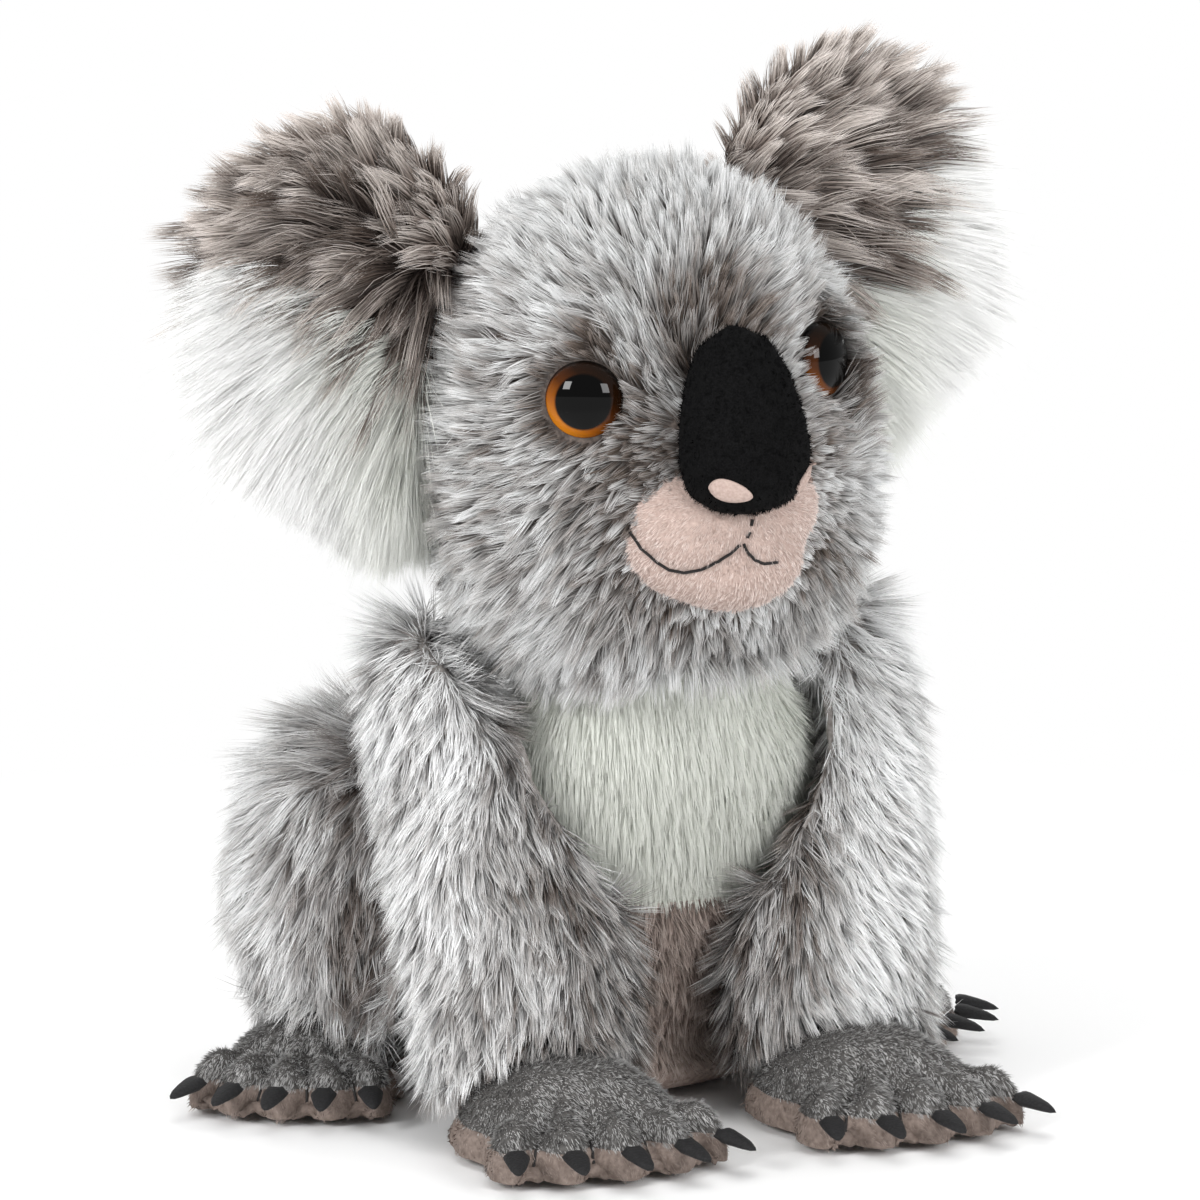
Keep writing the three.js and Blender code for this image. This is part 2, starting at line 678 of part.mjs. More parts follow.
function armForm(side, inset) {
  const high = ARM_TOP_HEIGHT - ARM_CUFF_HEIGHT;
  const top = ARM_TOP_HEIGHT - inset;
  const rings = ARM_SHARES.map(([height, width, depth, pull]) => ({
    x: side * THREE.MathUtils.lerp(CUFF_SPREAD, SHOULDER_SPREAD, pull),
    y: -THREE.MathUtils.lerp(CUFF_FORWARD, SHOULDER_FORWARD, pull),
    z: Math.min(ARM_CUFF_HEIGHT + high * height, top - inset * (1 - height)),
    wide: Math.max(ARM_HALF_WIDTH * width - inset, inset / 2),
    front: Math.max(ARM_HALF_DEPTH * depth - inset, inset / 2),
    back: Math.max(ARM_HALF_DEPTH * depth - inset, inset / 2),
  }));
  const cuff = pole(rings[0].x, rings[0].y, rings[0].z);
  const crown = pole(side * SHOULDER_SPREAD, -SHOULDER_FORWARD, top);
  return loft([cuff, ...rings, crown], LIMB_AROUND);
}

function hipJoint(side) {
  return new THREE.Vector3(side * HAUNCH_SPREAD, HAUNCH_BACK, HAUNCH_HEIGHT);
}

function haunchForm(side, inset) {
  const deep = HAUNCH_HALF_DEPTH - inset;
  const form = ellipsoid(HAUNCH_HALF_WIDTH - inset, deep, HAUNCH_HALF_HEIGHT - inset, LIMB_AROUND);
  return form.translate(side * HAUNCH_SPREAD, HAUNCH_BACK, HAUNCH_HEIGHT);
}

// All that the head takes up as it turns and nods
function headRoom(head) {
  const nods = [-HEAD_NOD_RANGE, 0, HEAD_NOD_RANGE];
  const turns = [-HEAD_TURN_RANGE, -HEAD_TURN_RANGE / 2, 0, HEAD_TURN_RANGE / 2, HEAD_TURN_RANGE];
  return nods
    .map((nod) => swept(turnedAbout(head, NECK, ACROSS, nod), NECK, UP, turns))
    .reduce((whole, solid) => whole.add(solid));
}

function buildArm(side, hand) {
  const pivot = new THREE.Vector3(side * ARM_PIVOT_SPREAD, -ARM_PIVOT_FORWARD, ARM_PIVOT_HEIGHT);
  const group = bodyAt(koala, pivot);
  const paw = frontPaw(side, hand);
  const lifts = stages(ARM_SWING);
  const haunch = haunchForm(side, -SEAM_GAP);
  const tilted = turnedAbout(headForm(-SEAM_GAP), NECK, FORWARD, HEAD_TILT);
  const around = swept(torsoForm(-SEAM_GAP), pivot, ACROSS, lifts)
    .add(swept(haunch, pivot, ACROSS, lifts))
    .add(swept(haunch, hipJoint(side), ACROSS, stages(-LEG_SWING)))
    .add(swept(geometryOf(headRoom(tilted)), pivot, ACROSS, lifts));
  const pawSpace = pawForm(paw, SEAM_GAP);
  const cavity = solidOf(armForm(side, LIMB_PELT))
    .subtract(solidOf(torsoForm(-LIMB_PELT)))
    .subtract(solidOf(haunchForm(side, -LIMB_PELT)));
  const skin = solidOf(armForm(side, 0)).subtract(cavity).subtract(around).subtract(pawSpace);
  const filling = solidOf(armForm(side, LIMB_PELT + SEAM_GAP))
    .subtract(solidOf(torsoForm(-LIMB_PELT - SEAM_GAP)))
    .subtract(solidOf(haunchForm(side, -LIMB_PELT - SEAM_GAP)))
    .subtract(around)
    .subtract(pawSpace);
  piece(group, `arm_skin_${hand}`, skin, GREY_PLUSH);
  piece(group, `arm_stuffing_${hand}`, filling, FILLING);
  buildPaw(group, paw, 'front_paw', around);
}

function buildLeg(side, hand) {
  const group = bodyAt(koala, hipJoint(side));
  const paw = hindPaw(side, hand);
  const torso = swept(torsoForm(-SEAM_GAP), hipJoint(side), ACROSS, stages(LEG_SWING));
  const pawSpace = pawForm(paw, SEAM_GAP);
  const cavity = solidOf(haunchForm(side, LIMB_PELT)).subtract(solidOf(torsoForm(-LIMB_PELT)));
  const skin = solidOf(haunchForm(side, 0)).subtract(cavity).subtract(torso).subtract(pawSpace);
  const filling = solidOf(haunchForm(side, LIMB_PELT + SEAM_GAP))
    .subtract(solidOf(torsoForm(-LIMB_PELT - SEAM_GAP)))
    .subtract(pawSpace);
  piece(group, `haunch_skin_${hand}`, skin, GREY_PLUSH);
  piece(group, `haunch_stuffing_${hand}`, filling, FILLING);
  buildPaw(group, paw, 'hind_paw', torso);
}

// The whole toy
buildTorso(bodyAt(koala, new THREE.Vector3(0, 0, 0)));
buildNeck(bodyAt(koala, NECK));
const head = bodyAt(koala, NECK);
head.rotation.y = -THREE.MathUtils.degToRad(HEAD_TILT);
buildHead(head);
buildMouth(head);
for (const [side, hand] of [[-1, 'right'], [1, 'left']]) {
  piece(head, `nostril_patch_${hand}`, nostrilPatch(side), BEIGE_PLUSH);
  buildEye(head, side, hand);
  buildEar(head, side, hand);
  buildArm(side, hand);
  buildLeg(side, hand);
}

export default koala;
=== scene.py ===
import math

import bmesh
import bpy
import numpy as np
from mathutils import Matrix, Vector, bvhtree, kdtree


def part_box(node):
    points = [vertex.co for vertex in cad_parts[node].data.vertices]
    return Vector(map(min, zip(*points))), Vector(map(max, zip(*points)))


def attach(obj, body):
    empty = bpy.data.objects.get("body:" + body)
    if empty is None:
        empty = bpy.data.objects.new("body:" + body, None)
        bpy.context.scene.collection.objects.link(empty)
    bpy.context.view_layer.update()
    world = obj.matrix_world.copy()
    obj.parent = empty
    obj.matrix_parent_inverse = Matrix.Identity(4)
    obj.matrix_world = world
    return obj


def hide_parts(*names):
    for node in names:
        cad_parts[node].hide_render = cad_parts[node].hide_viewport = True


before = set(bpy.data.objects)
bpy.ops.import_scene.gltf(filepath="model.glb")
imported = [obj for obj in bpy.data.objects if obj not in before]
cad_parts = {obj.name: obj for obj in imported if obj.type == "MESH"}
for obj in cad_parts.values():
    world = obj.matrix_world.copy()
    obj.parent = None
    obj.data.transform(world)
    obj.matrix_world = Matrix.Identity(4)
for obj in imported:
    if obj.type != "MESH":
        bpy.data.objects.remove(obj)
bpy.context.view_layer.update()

# Camera
# It stands to the toy's right and a little above its paws, a long step away, so that the near
# ear and arm are seen whole and the far ones from the side.
MM = 0.001
LOOK_AT = Vector((-3.67, 0, 107.2)) * MM
CAMERA_DISTANCE = 1201 * MM
CAMERA_AZIMUTH = -25.7
CAMERA_ELEVATION = 8.4
CAMERA_LENS = 167.8


def new_object(name, data):
    made = bpy.data.objects.new(name, data)
    bpy.context.scene.collection.objects.link(made)
    return made


def aim(thing, azimuth, elevation, distance):
    """Puts a camera or a lamp off the toy, by angles in degrees, and turns it to look back"""
    turn, rise = math.radians(azimuth), math.radians(elevation)
    level = math.cos(rise)
    way = Vector((math.sin(turn) * level, -math.cos(turn) * level, math.sin(rise)))
    thing.location = LOOK_AT + way * distance
    thing.rotation_mode = "QUATERNION"
    thing.rotation_quaternion = (-way).to_track_quat("-Z", "Y")


camera_data = bpy.data.cameras.new("camera")
camera_data.sensor_width = 36
camera_data.lens = CAMERA_LENS
camera = new_object("camera", camera_data)
aim(camera, CAMERA_AZIMUTH, CAMERA_ELEVATION, CAMERA_DISTANCE)
bpy.context.scene.camera = camera


# Floor and light
# A white studio floor that runs out of sight, a large soft lamp on each side in front, one
# overhead and one behind that edges the fur.
def paint(code):
    """The linear colour of a code such as #a0b0c0"""
    shares = [int(code[start:start + 2], 16) / 255 for start in (1, 3, 5)]
    return [s / 12.92 if s <= 0.04045 else ((s + 0.055) / 1.055) ** 2.4 for s in shares] + [1]


def new_finish(name, values):
    """A material, its node tree and its shader's inputs, set to the values"""
    material = bpy.data.materials.new(name)
    material.use_nodes = True
    inputs = material.node_tree.nodes["Principled BSDF"].inputs
    for socket, value in values.items():
        inputs[socket].default_value = value
    return material, material.node_tree, inputs


def add_node(tree, kind, output=0, inputs=(), **settings):
    """An output of a new shader node, whose inputs are set to values or linked to other outputs"""
    node = tree.nodes.new(f"ShaderNode{kind}")
    for name, value in settings.items():
        setattr(node, name, value)
    for name, value in dict(inputs).items():
        if isinstance(value, bpy.types.NodeSocket):
            tree.links.new(value, node.inputs[name])
        else:
            node.inputs[name].default_value = value
    return node.outputs[output]


def seen_by(tree, other):
    """1 for what the camera sees, straight or by the other kind of ray"""
    rays = [add_node(tree, "LightPath", f"Is {kind} Ray") for kind in ("Camera", other)]
    return add_node(tree, "Math", inputs=enumerate(rays), operation="MAXIMUM")


FLOOR_SIZE = 12
FLOOR_LEVEL = -0.3 * MM
floor_bm = bmesh.new()
bmesh.ops.create_grid(floor_bm, x_segments=1, y_segments=1, size=FLOOR_SIZE)
floor_mesh = bpy.data.meshes.new("studio_floor")
floor_bm.to_mesh(floor_mesh)
floor_bm.free()
floor = new_object("studio_floor", floor_mesh)
floor.location.z = FLOOR_LEVEL
floor_values = {"Base Color": paint("#fafafa"), "Roughness": 0.9}
floor_material, tree, _ = new_finish("studio_floor", floor_values)
# Beyond the toy's shadow the camera sees the floor as plain white
place = add_node(tree, "TexCoord", "Object")
away = add_node(tree, "VectorMath", "Value", {0: place}, operation="LENGTH")
far = add_node(tree, "MapRange", "Result", {"Value": away, "From Min": 0.12, "From Max": 0.42})
share = add_node(tree, "Math", 0, {0: far, 1: seen_by(tree, "Glossy")}, operation="MULTIPLY")
lit = tree.nodes["Principled BSDF"].outputs[0]
choice = add_node(tree, "MixShader", 0, {0: share, 1: lit, 2: add_node(tree, "Emission")})
tree.links.new(choice, tree.nodes["Material Output"].inputs["Surface"])
floor_mesh.materials.append(floor_material)

world = bpy.data.worlds.new("studio")
bpy.context.scene.world = world
world.use_nodes = True
tree = world.node_tree
surround = tree.nodes["Background"]
surround.inputs["Color"].default_value = (1, 1, 1, 1)
surround.inputs["Strength"].default_value = 0.45
backdrop = add_node(tree, "Background", 0, {"Color": (1, 1, 1, 1)})
seen = seen_by(tree, "Transmission")
choice = add_node(tree, "MixShader", 0, {0: seen, 1: surround.outputs[0], 2: backdrop})
tree.links.new(choice, tree.nodes["World Output"].inputs["Surface"])

# Name, azimuth and elevation in degrees, distance, size and power
LAMPS = [
    ("left_softbox", -68, 24, 1.2, 0.34, 8.4),
    ("right_softbox", 16, 20, 1.2, 0.4, 6.6),
    ("top_softbox", -10, 74, 1.3, 0.9, 5),
    ("rim_softbox", 160, 40, 1.3, 0.8, 7),
]
for name, azimuth, elevation, distance, size, power in LAMPS:
    lamp_data = bpy.data.lights.new(name, "AREA")
    lamp_data.shape = "SQUARE"
    lamp_data.size = size
    lamp_data.energy = power
    lamp = new_object(name, lamp_data)
    aim(lamp, azimuth, elevation, distance)
    lamp.visible_glossy = name != "top_softbox"
bpy.context.scene.view_settings.view_transform = "Standard"


# Torso
# Four panels of pile cloth sewn into a pear: grey back, white bib, beige belly and seat. Each
# panel is a thin backing cut from one stuffed form, with its pile standing on it.

# How far a form grows to close its seams, the lowest level of a backing, the cloth's thickness
SEAM_GROWTH = 0.3 * MM
BACKING_FLOOR = 0.8 * MM
CLOTH = 0.9 * MM


def merged(node):
    """A CAD node as one joined mesh"""
    bm = bmesh.new()
    bm.from_mesh(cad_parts[node].data)
    bmesh.ops.remove_doubles(bm, verts=bm.verts, dist=0.01 * MM)
    bm.normal_update()
    return bm


def push(bm, distance):
    """Moves each point out by a distance, or by what a function says of its place"""
    bm.normal_update()
    moves = [distance(vert.co) if callable(distance) else distance for vert in bm.verts]
    for vert, move in zip(bm.verts, moves):
        vert.co += vert.normal * move
    bm.normal_update()


def smooth(bm, rounds):
    for _ in range(rounds):
        bmesh.ops.smooth_vert(
            bm, verts=bm.verts, factor=0.5, use_axis_x=True, use_axis_y=True, use_axis_z=True,
        )
    bm.normal_update()


def wrapped(forms, voxel):
    """One closed skin round all the forms, each grown enough to close the seams between them"""
    whole = bmesh.new()
    mesh = bpy.data.meshes.new("loose")
    for bm in forms:
        push(bm, SEAM_GROWTH)
        bm.to_mesh(mesh)
        bm.free()
        whole.from_mesh(mesh)
    whole.to_mesh(mesh)
    whole.free()
    loose = new_object("loose", mesh)
    skin = loose.modifiers.new("skin", "REMESH")
    skin.mode = "VOXEL"
    skin.voxel_size = voxel
    made = bmesh.new()
    made.from_mesh(loose.evaluated_get(bpy.context.evaluated_depsgraph_get()).to_mesh())
    bpy.data.objects.remove(loose)
    bpy.data.meshes.remove(mesh)
    drop_bubbles(made)
    made.normal_update()
    return made


def drop_bubbles(bm):
    """Leaves only the largest of the closed shells"""
    left = set(bm.verts)
    shells = []
    while left:
        shell = [left.pop()]
        for vert in shell:
            near = {other for edge in vert.link_edges for other in edge.verts} & left
            left -= near
            shell.extend(near)
        shells.append(shell)
    shells.sort(key=len)
    spare = [vert for shell in shells[:-1] for vert in shell]
    bmesh.ops.delete(bm, geom=spare, context="VERTS")


def stuffed(nodes, voxel, depth, plugs=()):
    """The backing of a stuffed body: its CAD nodes as one, drawn in by the depth of the pile"""
    form = wrapped([*[merged(node) for node in nodes], *plugs], voxel)
    smooth(form, 6)
    push(form, lambda place: -depth(place) if callable(depth) else -depth)
    smooth(form, 3)
    for vert in form.verts:
        vert.co.z = max(vert.co.z, BACKING_FLOOR)
    form.normal_update()
    return form


def side_of(form, *cuts):
    """The part of a form that lies where each (place, direction) looks"""
    panel = form.copy()
    for place, direction in cuts:
        bmesh.ops.bisect_plane(
            panel, geom=[*panel.verts, *panel.edges, *panel.faces], dist=0, plane_co=place,
            plane_no=direction, clear_inner=True,
        )
    panel.normal_update()
    return panel


def place_piece(name, data, body, material, replaced=()):
    """A mesh or curve shown on its body, for the CAD nodes that it replaces"""
    data.materials.append(material)
    piece = new_object(name, data)
    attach(piece, body)
    if replaced:
        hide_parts(*replaced)
    return piece


def new_piece(name, bm, body, material, replaced):
    mesh = bpy.data.meshes.new(name)
    bm.to_mesh(mesh)
    mesh.shade_smooth()
    return place_piece(name, mesh, body, material, replaced)


def new_cloth(name, panel, body, material, replaced):
    """A panel's backing, with its thickness turned inwards"""
    piece = new_piece(name, panel, body, material, [replaced])
    wall = piece.modifiers.new("cloth", "SOLIDIFY")
    wall.thickness = CLOTH
    wall.offset = -1


def unit(vectors):
    return vectors / np.maximum(np.linalg.norm(vectors, axis=-1, keepdims=True), 1e-12)


def ripple(points, size, seed):
    """Smooth noise whose waves are about one size, mostly from -1 to 1"""
    draw = np.random.default_rng(seed)
    ways = unit(draw.normal(size=(9, 3))) * draw.uniform(0.6, 1.5, (9, 1))
    turns = points @ ways.T * (2 * math.pi / size) + draw.uniform(0, 2 * math.pi, 9)
    return np.sin(turns).sum(axis=1) / 3


def fade(values, start, end):
    """0 at the start, 1 at the end, and eased between"""
    share = np.clip((values - start) / (end - start), 0, 1)
    return share * share * (3 - 2 * share)


def distance_to(points, place):
    return np.linalg.norm(points - np.array(place), axis=1)


def read_threes(items, name, kind=float):
    """A property of mesh elements, three numbers to each"""
    values = np.empty(len(items) * 3, dtype=kind)
    items.foreach_get(name, values)
    return values.reshape(-1, 3)


def roots_on(panel, count, draw):
    """Random places on a panel, evenly spread, and the way that each faces"""
    mesh = bpy.data.meshes.new("roots")
    panel.to_mesh(mesh)
    mesh.calc_loop_triangles()
    corners = read_threes(mesh.loop_triangles, "vertices", np.int32)
    points = read_threes(mesh.vertices, "co")[corners]
    normals = read_threes(mesh.vertices, "normal")[corners]
    bpy.data.meshes.remove(mesh)
    doubled = np.cross(points[:, 1] - points[:, 0], points[:, 2] - points[:, 0])
    areas = np.linalg.norm(doubled, axis=1)
    picked = draw.choice(len(areas), count, p=areas / areas.sum())
    share = draw.random((count, 2))
    share[share.sum(axis=1) > 1] = 1 - share[share.sum(axis=1) > 1]
    weights = np.stack([1 - share.sum(axis=1), share[:, 0], share[:, 1]], axis=1)[:, :, None]
    return (points[picked] * weights).sum(axis=1), unit((normals[picked] * weights).sum(axis=1))


# A strand is hidden when another form stands this close ahead of it, but for a margin at the
# edge, and this share of the hidden ones grows all the same
HIDDEN_GAP = 8 * MM
HIDDEN_MARGIN = 7 * MM
HIDDEN_SHARE = 0.5


def clear_of(points, facing, nodes):
    """Which places have none of the CAD nodes close ahead of them, and a margin round them"""
    whole = bmesh.new()
    for node in nodes:
        whole.from_mesh(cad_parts[node].data)
    tree = bvhtree.BVHTree.FromBMesh(whole)
    whole.free()
    hits = [tree.ray_cast(place, way, HIDDEN_GAP)[0] for place, way in zip(points, facing)]
    free = np.array([hit is None for hit in hits], dtype=bool)
    shown = np.flatnonzero(free)[::6]
    near = kdtree.KDTree(len(shown))
    for index, place in enumerate(points[shown]):
        near.insert(place, index)
    near.balance()
    for index in np.flatnonzero(~free):
        free[index] = len(shown) > 0 and near.find(points[index])[2] < HIDDEN_MARGIN
    return free


# Triangles in one piece of pile at most, the depth of its roots in the backing, how far strands
# stay above the ground, the size of the drifts in the comb, and the roll of the blades
PILE_LIMIT = 190000
ROOT_DEPTH = 0.2 * MM
GROUND_GAP = 0.15 * MM
DRIFT = 24 * MM
ROLL = math.radians(34)


def grow_pile(
    name, panel, body, material, count, length, comb, lean=55, width=0.27 * MM, rings=2,
    tuft=9, pull=0.42, tousle=0.24, curl=0.06, fall=0.0, tone=0.3, vary=0.13, hidden=(), keep=None,
    seed=1,
):
    """Strands of pile on a panel: narrow blades that lean with the comb and gather in tufts"""
    draw = np.random.default_rng(seed)
    roots, facing = roots_on(panel, count, draw)

    def at_roots(rule):
        return rule(roots, facing) if callable(rule) else rule

    kept = np.ones(len(roots), dtype=bool)
    if hidden:
        kept &= clear_of(roots, facing, hidden) | (draw.random(len(roots)) < HIDDEN_SHARE)
    if keep:
        kept &= keep(roots, facing)
    roots, facing = roots[kept], facing[kept]
    total = len(roots)
    leaders = min(max(total * 1 // tuft, 1), total)
    tree = kdtree.KDTree(leaders)
    for index in range(leaders):
        tree.insert(roots[index], index)
    tree.balance()
    leader = np.array([tree.find(root)[1] for root in roots])

    # The comb, ruffled in drifts, tuft by tuft and a little strand by strand
    drift = np.stack([ripple(roots, DRIFT, seed + axis) for axis in range(3)], axis=1)
    own = draw.normal(size=(total, 3))
    way = unit(at_roots(comb) + 0 * roots) + tousle * drift
    way += tousle * (0.8 * draw.normal(size=(leaders, 3))[leader] + 0.45 * own)
    way = unit(way - facing * (way * facing).sum(axis=1, keepdims=True))
    angle = at_roots(lean) + 9 * draw.normal(size=leaders)[leader] + 6 * draw.normal(size=total)
    angle = np.radians(angle)[:, None]
    reach = at_roots(length) * (1 + 0.12 * draw.normal(size=leaders)[leader])
    reach = (reach * draw.uniform(0.72, 1.12, total))[:, None]
    rise = np.cos(angle) * facing + np.sin(angle) * way
    side = unit(np.cross(rise, facing) + 1e-9)
    bend = curl * draw.normal(size=(total, 1)) * side + fall * np.array([0, 0, -1])
    tips = roots + reach * (rise + bend)
    gather = pull * (tips[leader] - tips)
    roll = ROLL * draw.normal(size=(total, 1))
    across = (np.cos(roll) * side + np.sin(roll) * np.cross(rise, side)) * width / 2
    rows = []
    for step in np.linspace(0, 1, rings + 1):
        spine = roots - facing * ROOT_DEPTH + reach * (rise * step + bend * step ** 2)
        spine += gather * step ** 1.6
        half = across * (1 - step) ** 0.6
        rows += [spine - half, spine + half] if step < 1 else [spine]
    points = np.stack(rows, axis=1)
    points[:, :, 2] = np.maximum(points[:, :, 2], GROUND_GAP)
    along = np.repeat(np.linspace(0, 1, rings + 1), [2] * rings + [1])
    faces = []
    for low in range(0, 2 * rings - 2, 2):
        faces += [(low, low + 1, low + 3), (low, low + 3, low + 2)]
    faces = np.array([*faces, (2 * rings - 2, 2 * rings - 1, 2 * rings)])
    shade = at_roots(tone) + vary * draw.normal(size=leaders)[leader]
    shade = np.clip(shade + 0.6 * vary * draw.normal(size=total), 0, 1)

    parts = max(-(-total * len(faces) // PILE_LIMIT), 1)
    order = np.argsort(roots[:, 0], kind="stable")
    per = len(along)
    for part, chosen in enumerate(np.array_split(order, parts), start=1):
        mesh = bpy.data.meshes.new(name)
        corners = faces[None] + per * np.arange(len(chosen))[:, None, None]
        mesh.from_pydata(points[chosen].reshape(-1, 3), [], corners.reshape(-1, 3))
        add_facts(mesh, along=np.tile(along, len(chosen)), tone=np.repeat(shade[chosen], per))
        skin = mesh.attributes.new("skin", "FLOAT_VECTOR", "POINT").data
        skin.foreach_set("vector", np.repeat(facing[chosen], per, axis=0).ravel())
        mesh.shade_smooth()
        place_piece(name if parts == 1 else f"{name}_{part}", mesh, body, material)


def add_facts(mesh, **facts):
    """Numbers on each point of a mesh, for its material to read by name"""
    for fact, values in facts.items():
        mesh.attributes.new(fact, "FLOAT", "POINT").data.foreach_set("value", values)


def ramp_of(tree, source, stops):
    """The colour that a number is turned into"""
    stops = list(stops)
    colour = add_node(tree, "ValToRGB", 0, {0: source})
    ramp = colour.node.color_ramp
    while len(ramp.elements) < len(stops):
        ramp.elements.new(0.5)
    for element, (place, code) in zip(ramp.elements, stops):
        element.position = place
        element.color = paint(code)
    return colour


def pile_finish(name, pale, dark, roughness=0.62, skin=0.75, tip=0.45, specular=0.35):
    """Strands that run from a root's colour to a tip's, between a pale and a dark set of both"""
    values = {"Roughness": roughness, "Specular IOR Level": specular}
    material, tree, inputs = new_finish(name, values)
    along = add_node(tree, "Attribute", "Fac", attribute_name="along")
    tone = add_node(tree, "Attribute", "Fac", attribute_name="tone")
    ramps = {0: tone, 6: ramp_of(tree, along, pale), 7: ramp_of(tree, along, dark)}
    tree.links.new(add_node(tree, "Mix", 2, ramps, data_type="RGBA"), inputs["Base Color"])
    # Light falls on the root of a strand as on the skin, and on its tip and back as on itself
    skin_way = add_node(tree, "Attribute", "Vector", attribute_name="skin")
    facing = add_node(
        tree, "VectorTransform", 0, {0: skin_way}, vector_type="NORMAL", convert_from="OBJECT",
        convert_to="WORLD",
    )
    own = add_node(tree, "NewGeometry", "Normal")
    meet = add_node(tree, "VectorMath", "Value", {0: own, 1: facing}, operation="DOT_PRODUCT")
    alike = add_node(
        tree, "MapRange", "Result", {"Value": meet, "From Min": -0.25, "From Max": 0.35},
    )
    share = add_node(tree, "MapRange", "Result", {"Value": along, "To Min": skin, "To Max": tip})
    weight = add_node(tree, "Math", 0, {0: share, 1: alike}, operation="MULTIPLY")
    blend = add_node(tree, "Mix", 1, {0: weight, 4: own, 5: facing}, data_type="VECTOR")
    tree.links.new(blend, inputs["Normal"])
    return material


def grained(
    name, dark, pale, size=1.1 * MM, bump=0.3 * MM, pattern="TexNoise", span=(0.3, 0.7), **values,
):
    """Two colours and a relief from one pattern, by default with the grain of a knit"""
    material, tree, inputs = new_finish(name, {"Roughness": 0.9, **values})
    place = add_node(tree, "TexCoord", "Object")
    grain = add_node(tree, pattern, 0, {"Vector": place, "Scale": 1 / size})
    relief = add_node(tree, "Bump", 0, {"Distance": bump, "Height": grain})
    tree.links.new(ramp_of(tree, grain, zip(span, (dark, pale))), inputs["Base Color"])
    tree.links.new(relief, inputs["Normal"])
    return material


GREY_PALE = [(0, "#7c7673"), (0.3, "#a9a7a5"), (0.6, "#d2d3d3"), (1, "#eff0f0")]
GREY_DARK = [(0, "#201815"), (0.4, "#42372f"), (0.75, "#6b5f57"), (1, "#a79d96")]
LIMB_PALE = [(0, "#c9c8c7"), (0.3, "#e6e6e6"), (0.6, "#f7f8f8"), (1, "#fefefe")]
LIMB_DARK = [(0, "#241c19"), (0.4, "#4a403a"), (0.75, "#766c66"), (1, "#b9b2ad")]
WHITE_PALE = [(0, "#e9ebe4"), (0.4, "#f0f2eb"), (1, "#f8f9f4")]
WHITE_DARK = [(0, "#cfd2c7"), (0.4, "#d8dbd1"), (1, "#e2e4dc")]
# Beige darkened with painted shade, as the belly lies in shadow between the arms
BEIGE_SHADED_PALE = [(0, "#7d6d66"), (0.5, "#b5a49b"), (1, "#d8cac2")]
BEIGE_SHADED_DARK = [(0, "#4b403b"), (0.5, "#75675f"), (1, "#94867e")]
grey_pile = pile_finish("grey_pile", GREY_PALE, GREY_DARK)
limb_pile = pile_finish("limb_pile", LIMB_PALE, LIMB_DARK, skin=0.85)
white_pile = pile_finish("white_pile", WHITE_PALE, WHITE_DARK, skin=0.97, tip=0.9)
beige_shaded_pile = pile_finish("beige_shaded_pile", BEIGE_SHADED_PALE, BEIGE_SHADED_DARK)
grey_backing = grained("grey_backing", "#3a322e", "#665c56")
limb_backing = grained("limb_backing", "#7b7672", "#a09b98")
white_backing = grained("white_backing", "#bcbdb4", "#d8d9d1")
beige_backing = grained("beige_backing", "#8d7c74", "#b8a69d")

UP = Vector((0, 0, 1))
FORWARD = Vector((0, -1, 0))
seat_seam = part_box("seat_panel")[1].z
belly_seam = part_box("belly_panel")[1].z
bib_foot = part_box("belly_panel")[1].y
SIDES = {"right": -1, "left": 1}
LIMB_NODES = [
    f"{part}_{hand}" for part in ("arm_skin", "haunch_skin", "hind_paw_top", "hind_paw_sole")
    for hand in SIDES
]
HEAD_NODES = ["face_panel", "head_back_panel", "head_stuffing"]


def torso_depth(place):
    """The pile is short on the seat and longest on the back"""
    return (1.6 if place.z < seat_seam else 4.6 if place.y < bib_foot else 6.4) * MM


torso_form = stuffed(
    ["seat_panel", "back_panel", "chest_bib", "belly_panel", "torso_stuffing", "seat_bean_bag"],
    2.6 * MM, torso_depth,
)
seat_cut = Vector((0, 0, seat_seam))
belly_cut = Vector((0, 0, belly_seam))
bib_cut = Vector((0, bib_foot, seat_seam))
bib_way = Vector((0, -1, 0.05))
seat = side_of(torso_form, (seat_cut, -UP))
back = side_of(torso_form, (seat_cut, UP), (bib_cut, -bib_way))
bib = side_of(torso_form, (belly_cut, UP), (bib_cut, bib_way))
belly = side_of(torso_form, (seat_cut, UP), (belly_cut, -UP), (bib_cut, bib_way))
new_cloth("seat_cloth", seat, "torso", beige_backing, "seat_panel")
new_cloth("back_cloth", back, "torso", limb_backing, "back_panel")
new_cloth("bib_cloth", bib, "torso", white_backing, "chest_bib")
new_cloth("belly_cloth", belly, "torso", beige_backing, "belly_panel")


def downwards(points, facing):
    """Down, and out from the middle of the body, so that the pile lies flat on top as well"""
    outwards = (points - np.array([0, 10 * MM, 0])) * np.array([1, 1, 0])
    return unit(outwards) * 0.35 + np.array([0, 0, -1.0])


def patches(points, places):
    """Darker places in the cloth: each a place, a radius in mm and a strength"""
    tone = np.zeros(len(points))
    for place, radius, strength in places:
        near = 1 - fade(distance_to(points, place), 0.5 * radius * MM, 1.6 * radius * MM)
        tone = np.maximum(tone, strength * near)
    return tone


def upright(points, facing):
    """The pile stands up a little on top of the shoulders and lies down on the sides"""
    return 60 - 8 * fade(facing[:, 2], 0.25, 0.9)


def limb_length(points, facing):
    """Longer on top"""
    return (9.5 + 4 * fade(facing[:, 2], 0.2, 0.9)) * MM


def bib_length(points, facing):
    """Shorter above the seam to the belly, which it just covers"""
    return (3.5 + 4 * fade(points[:, 2], belly_seam, belly_seam + 18 * MM)) * MM


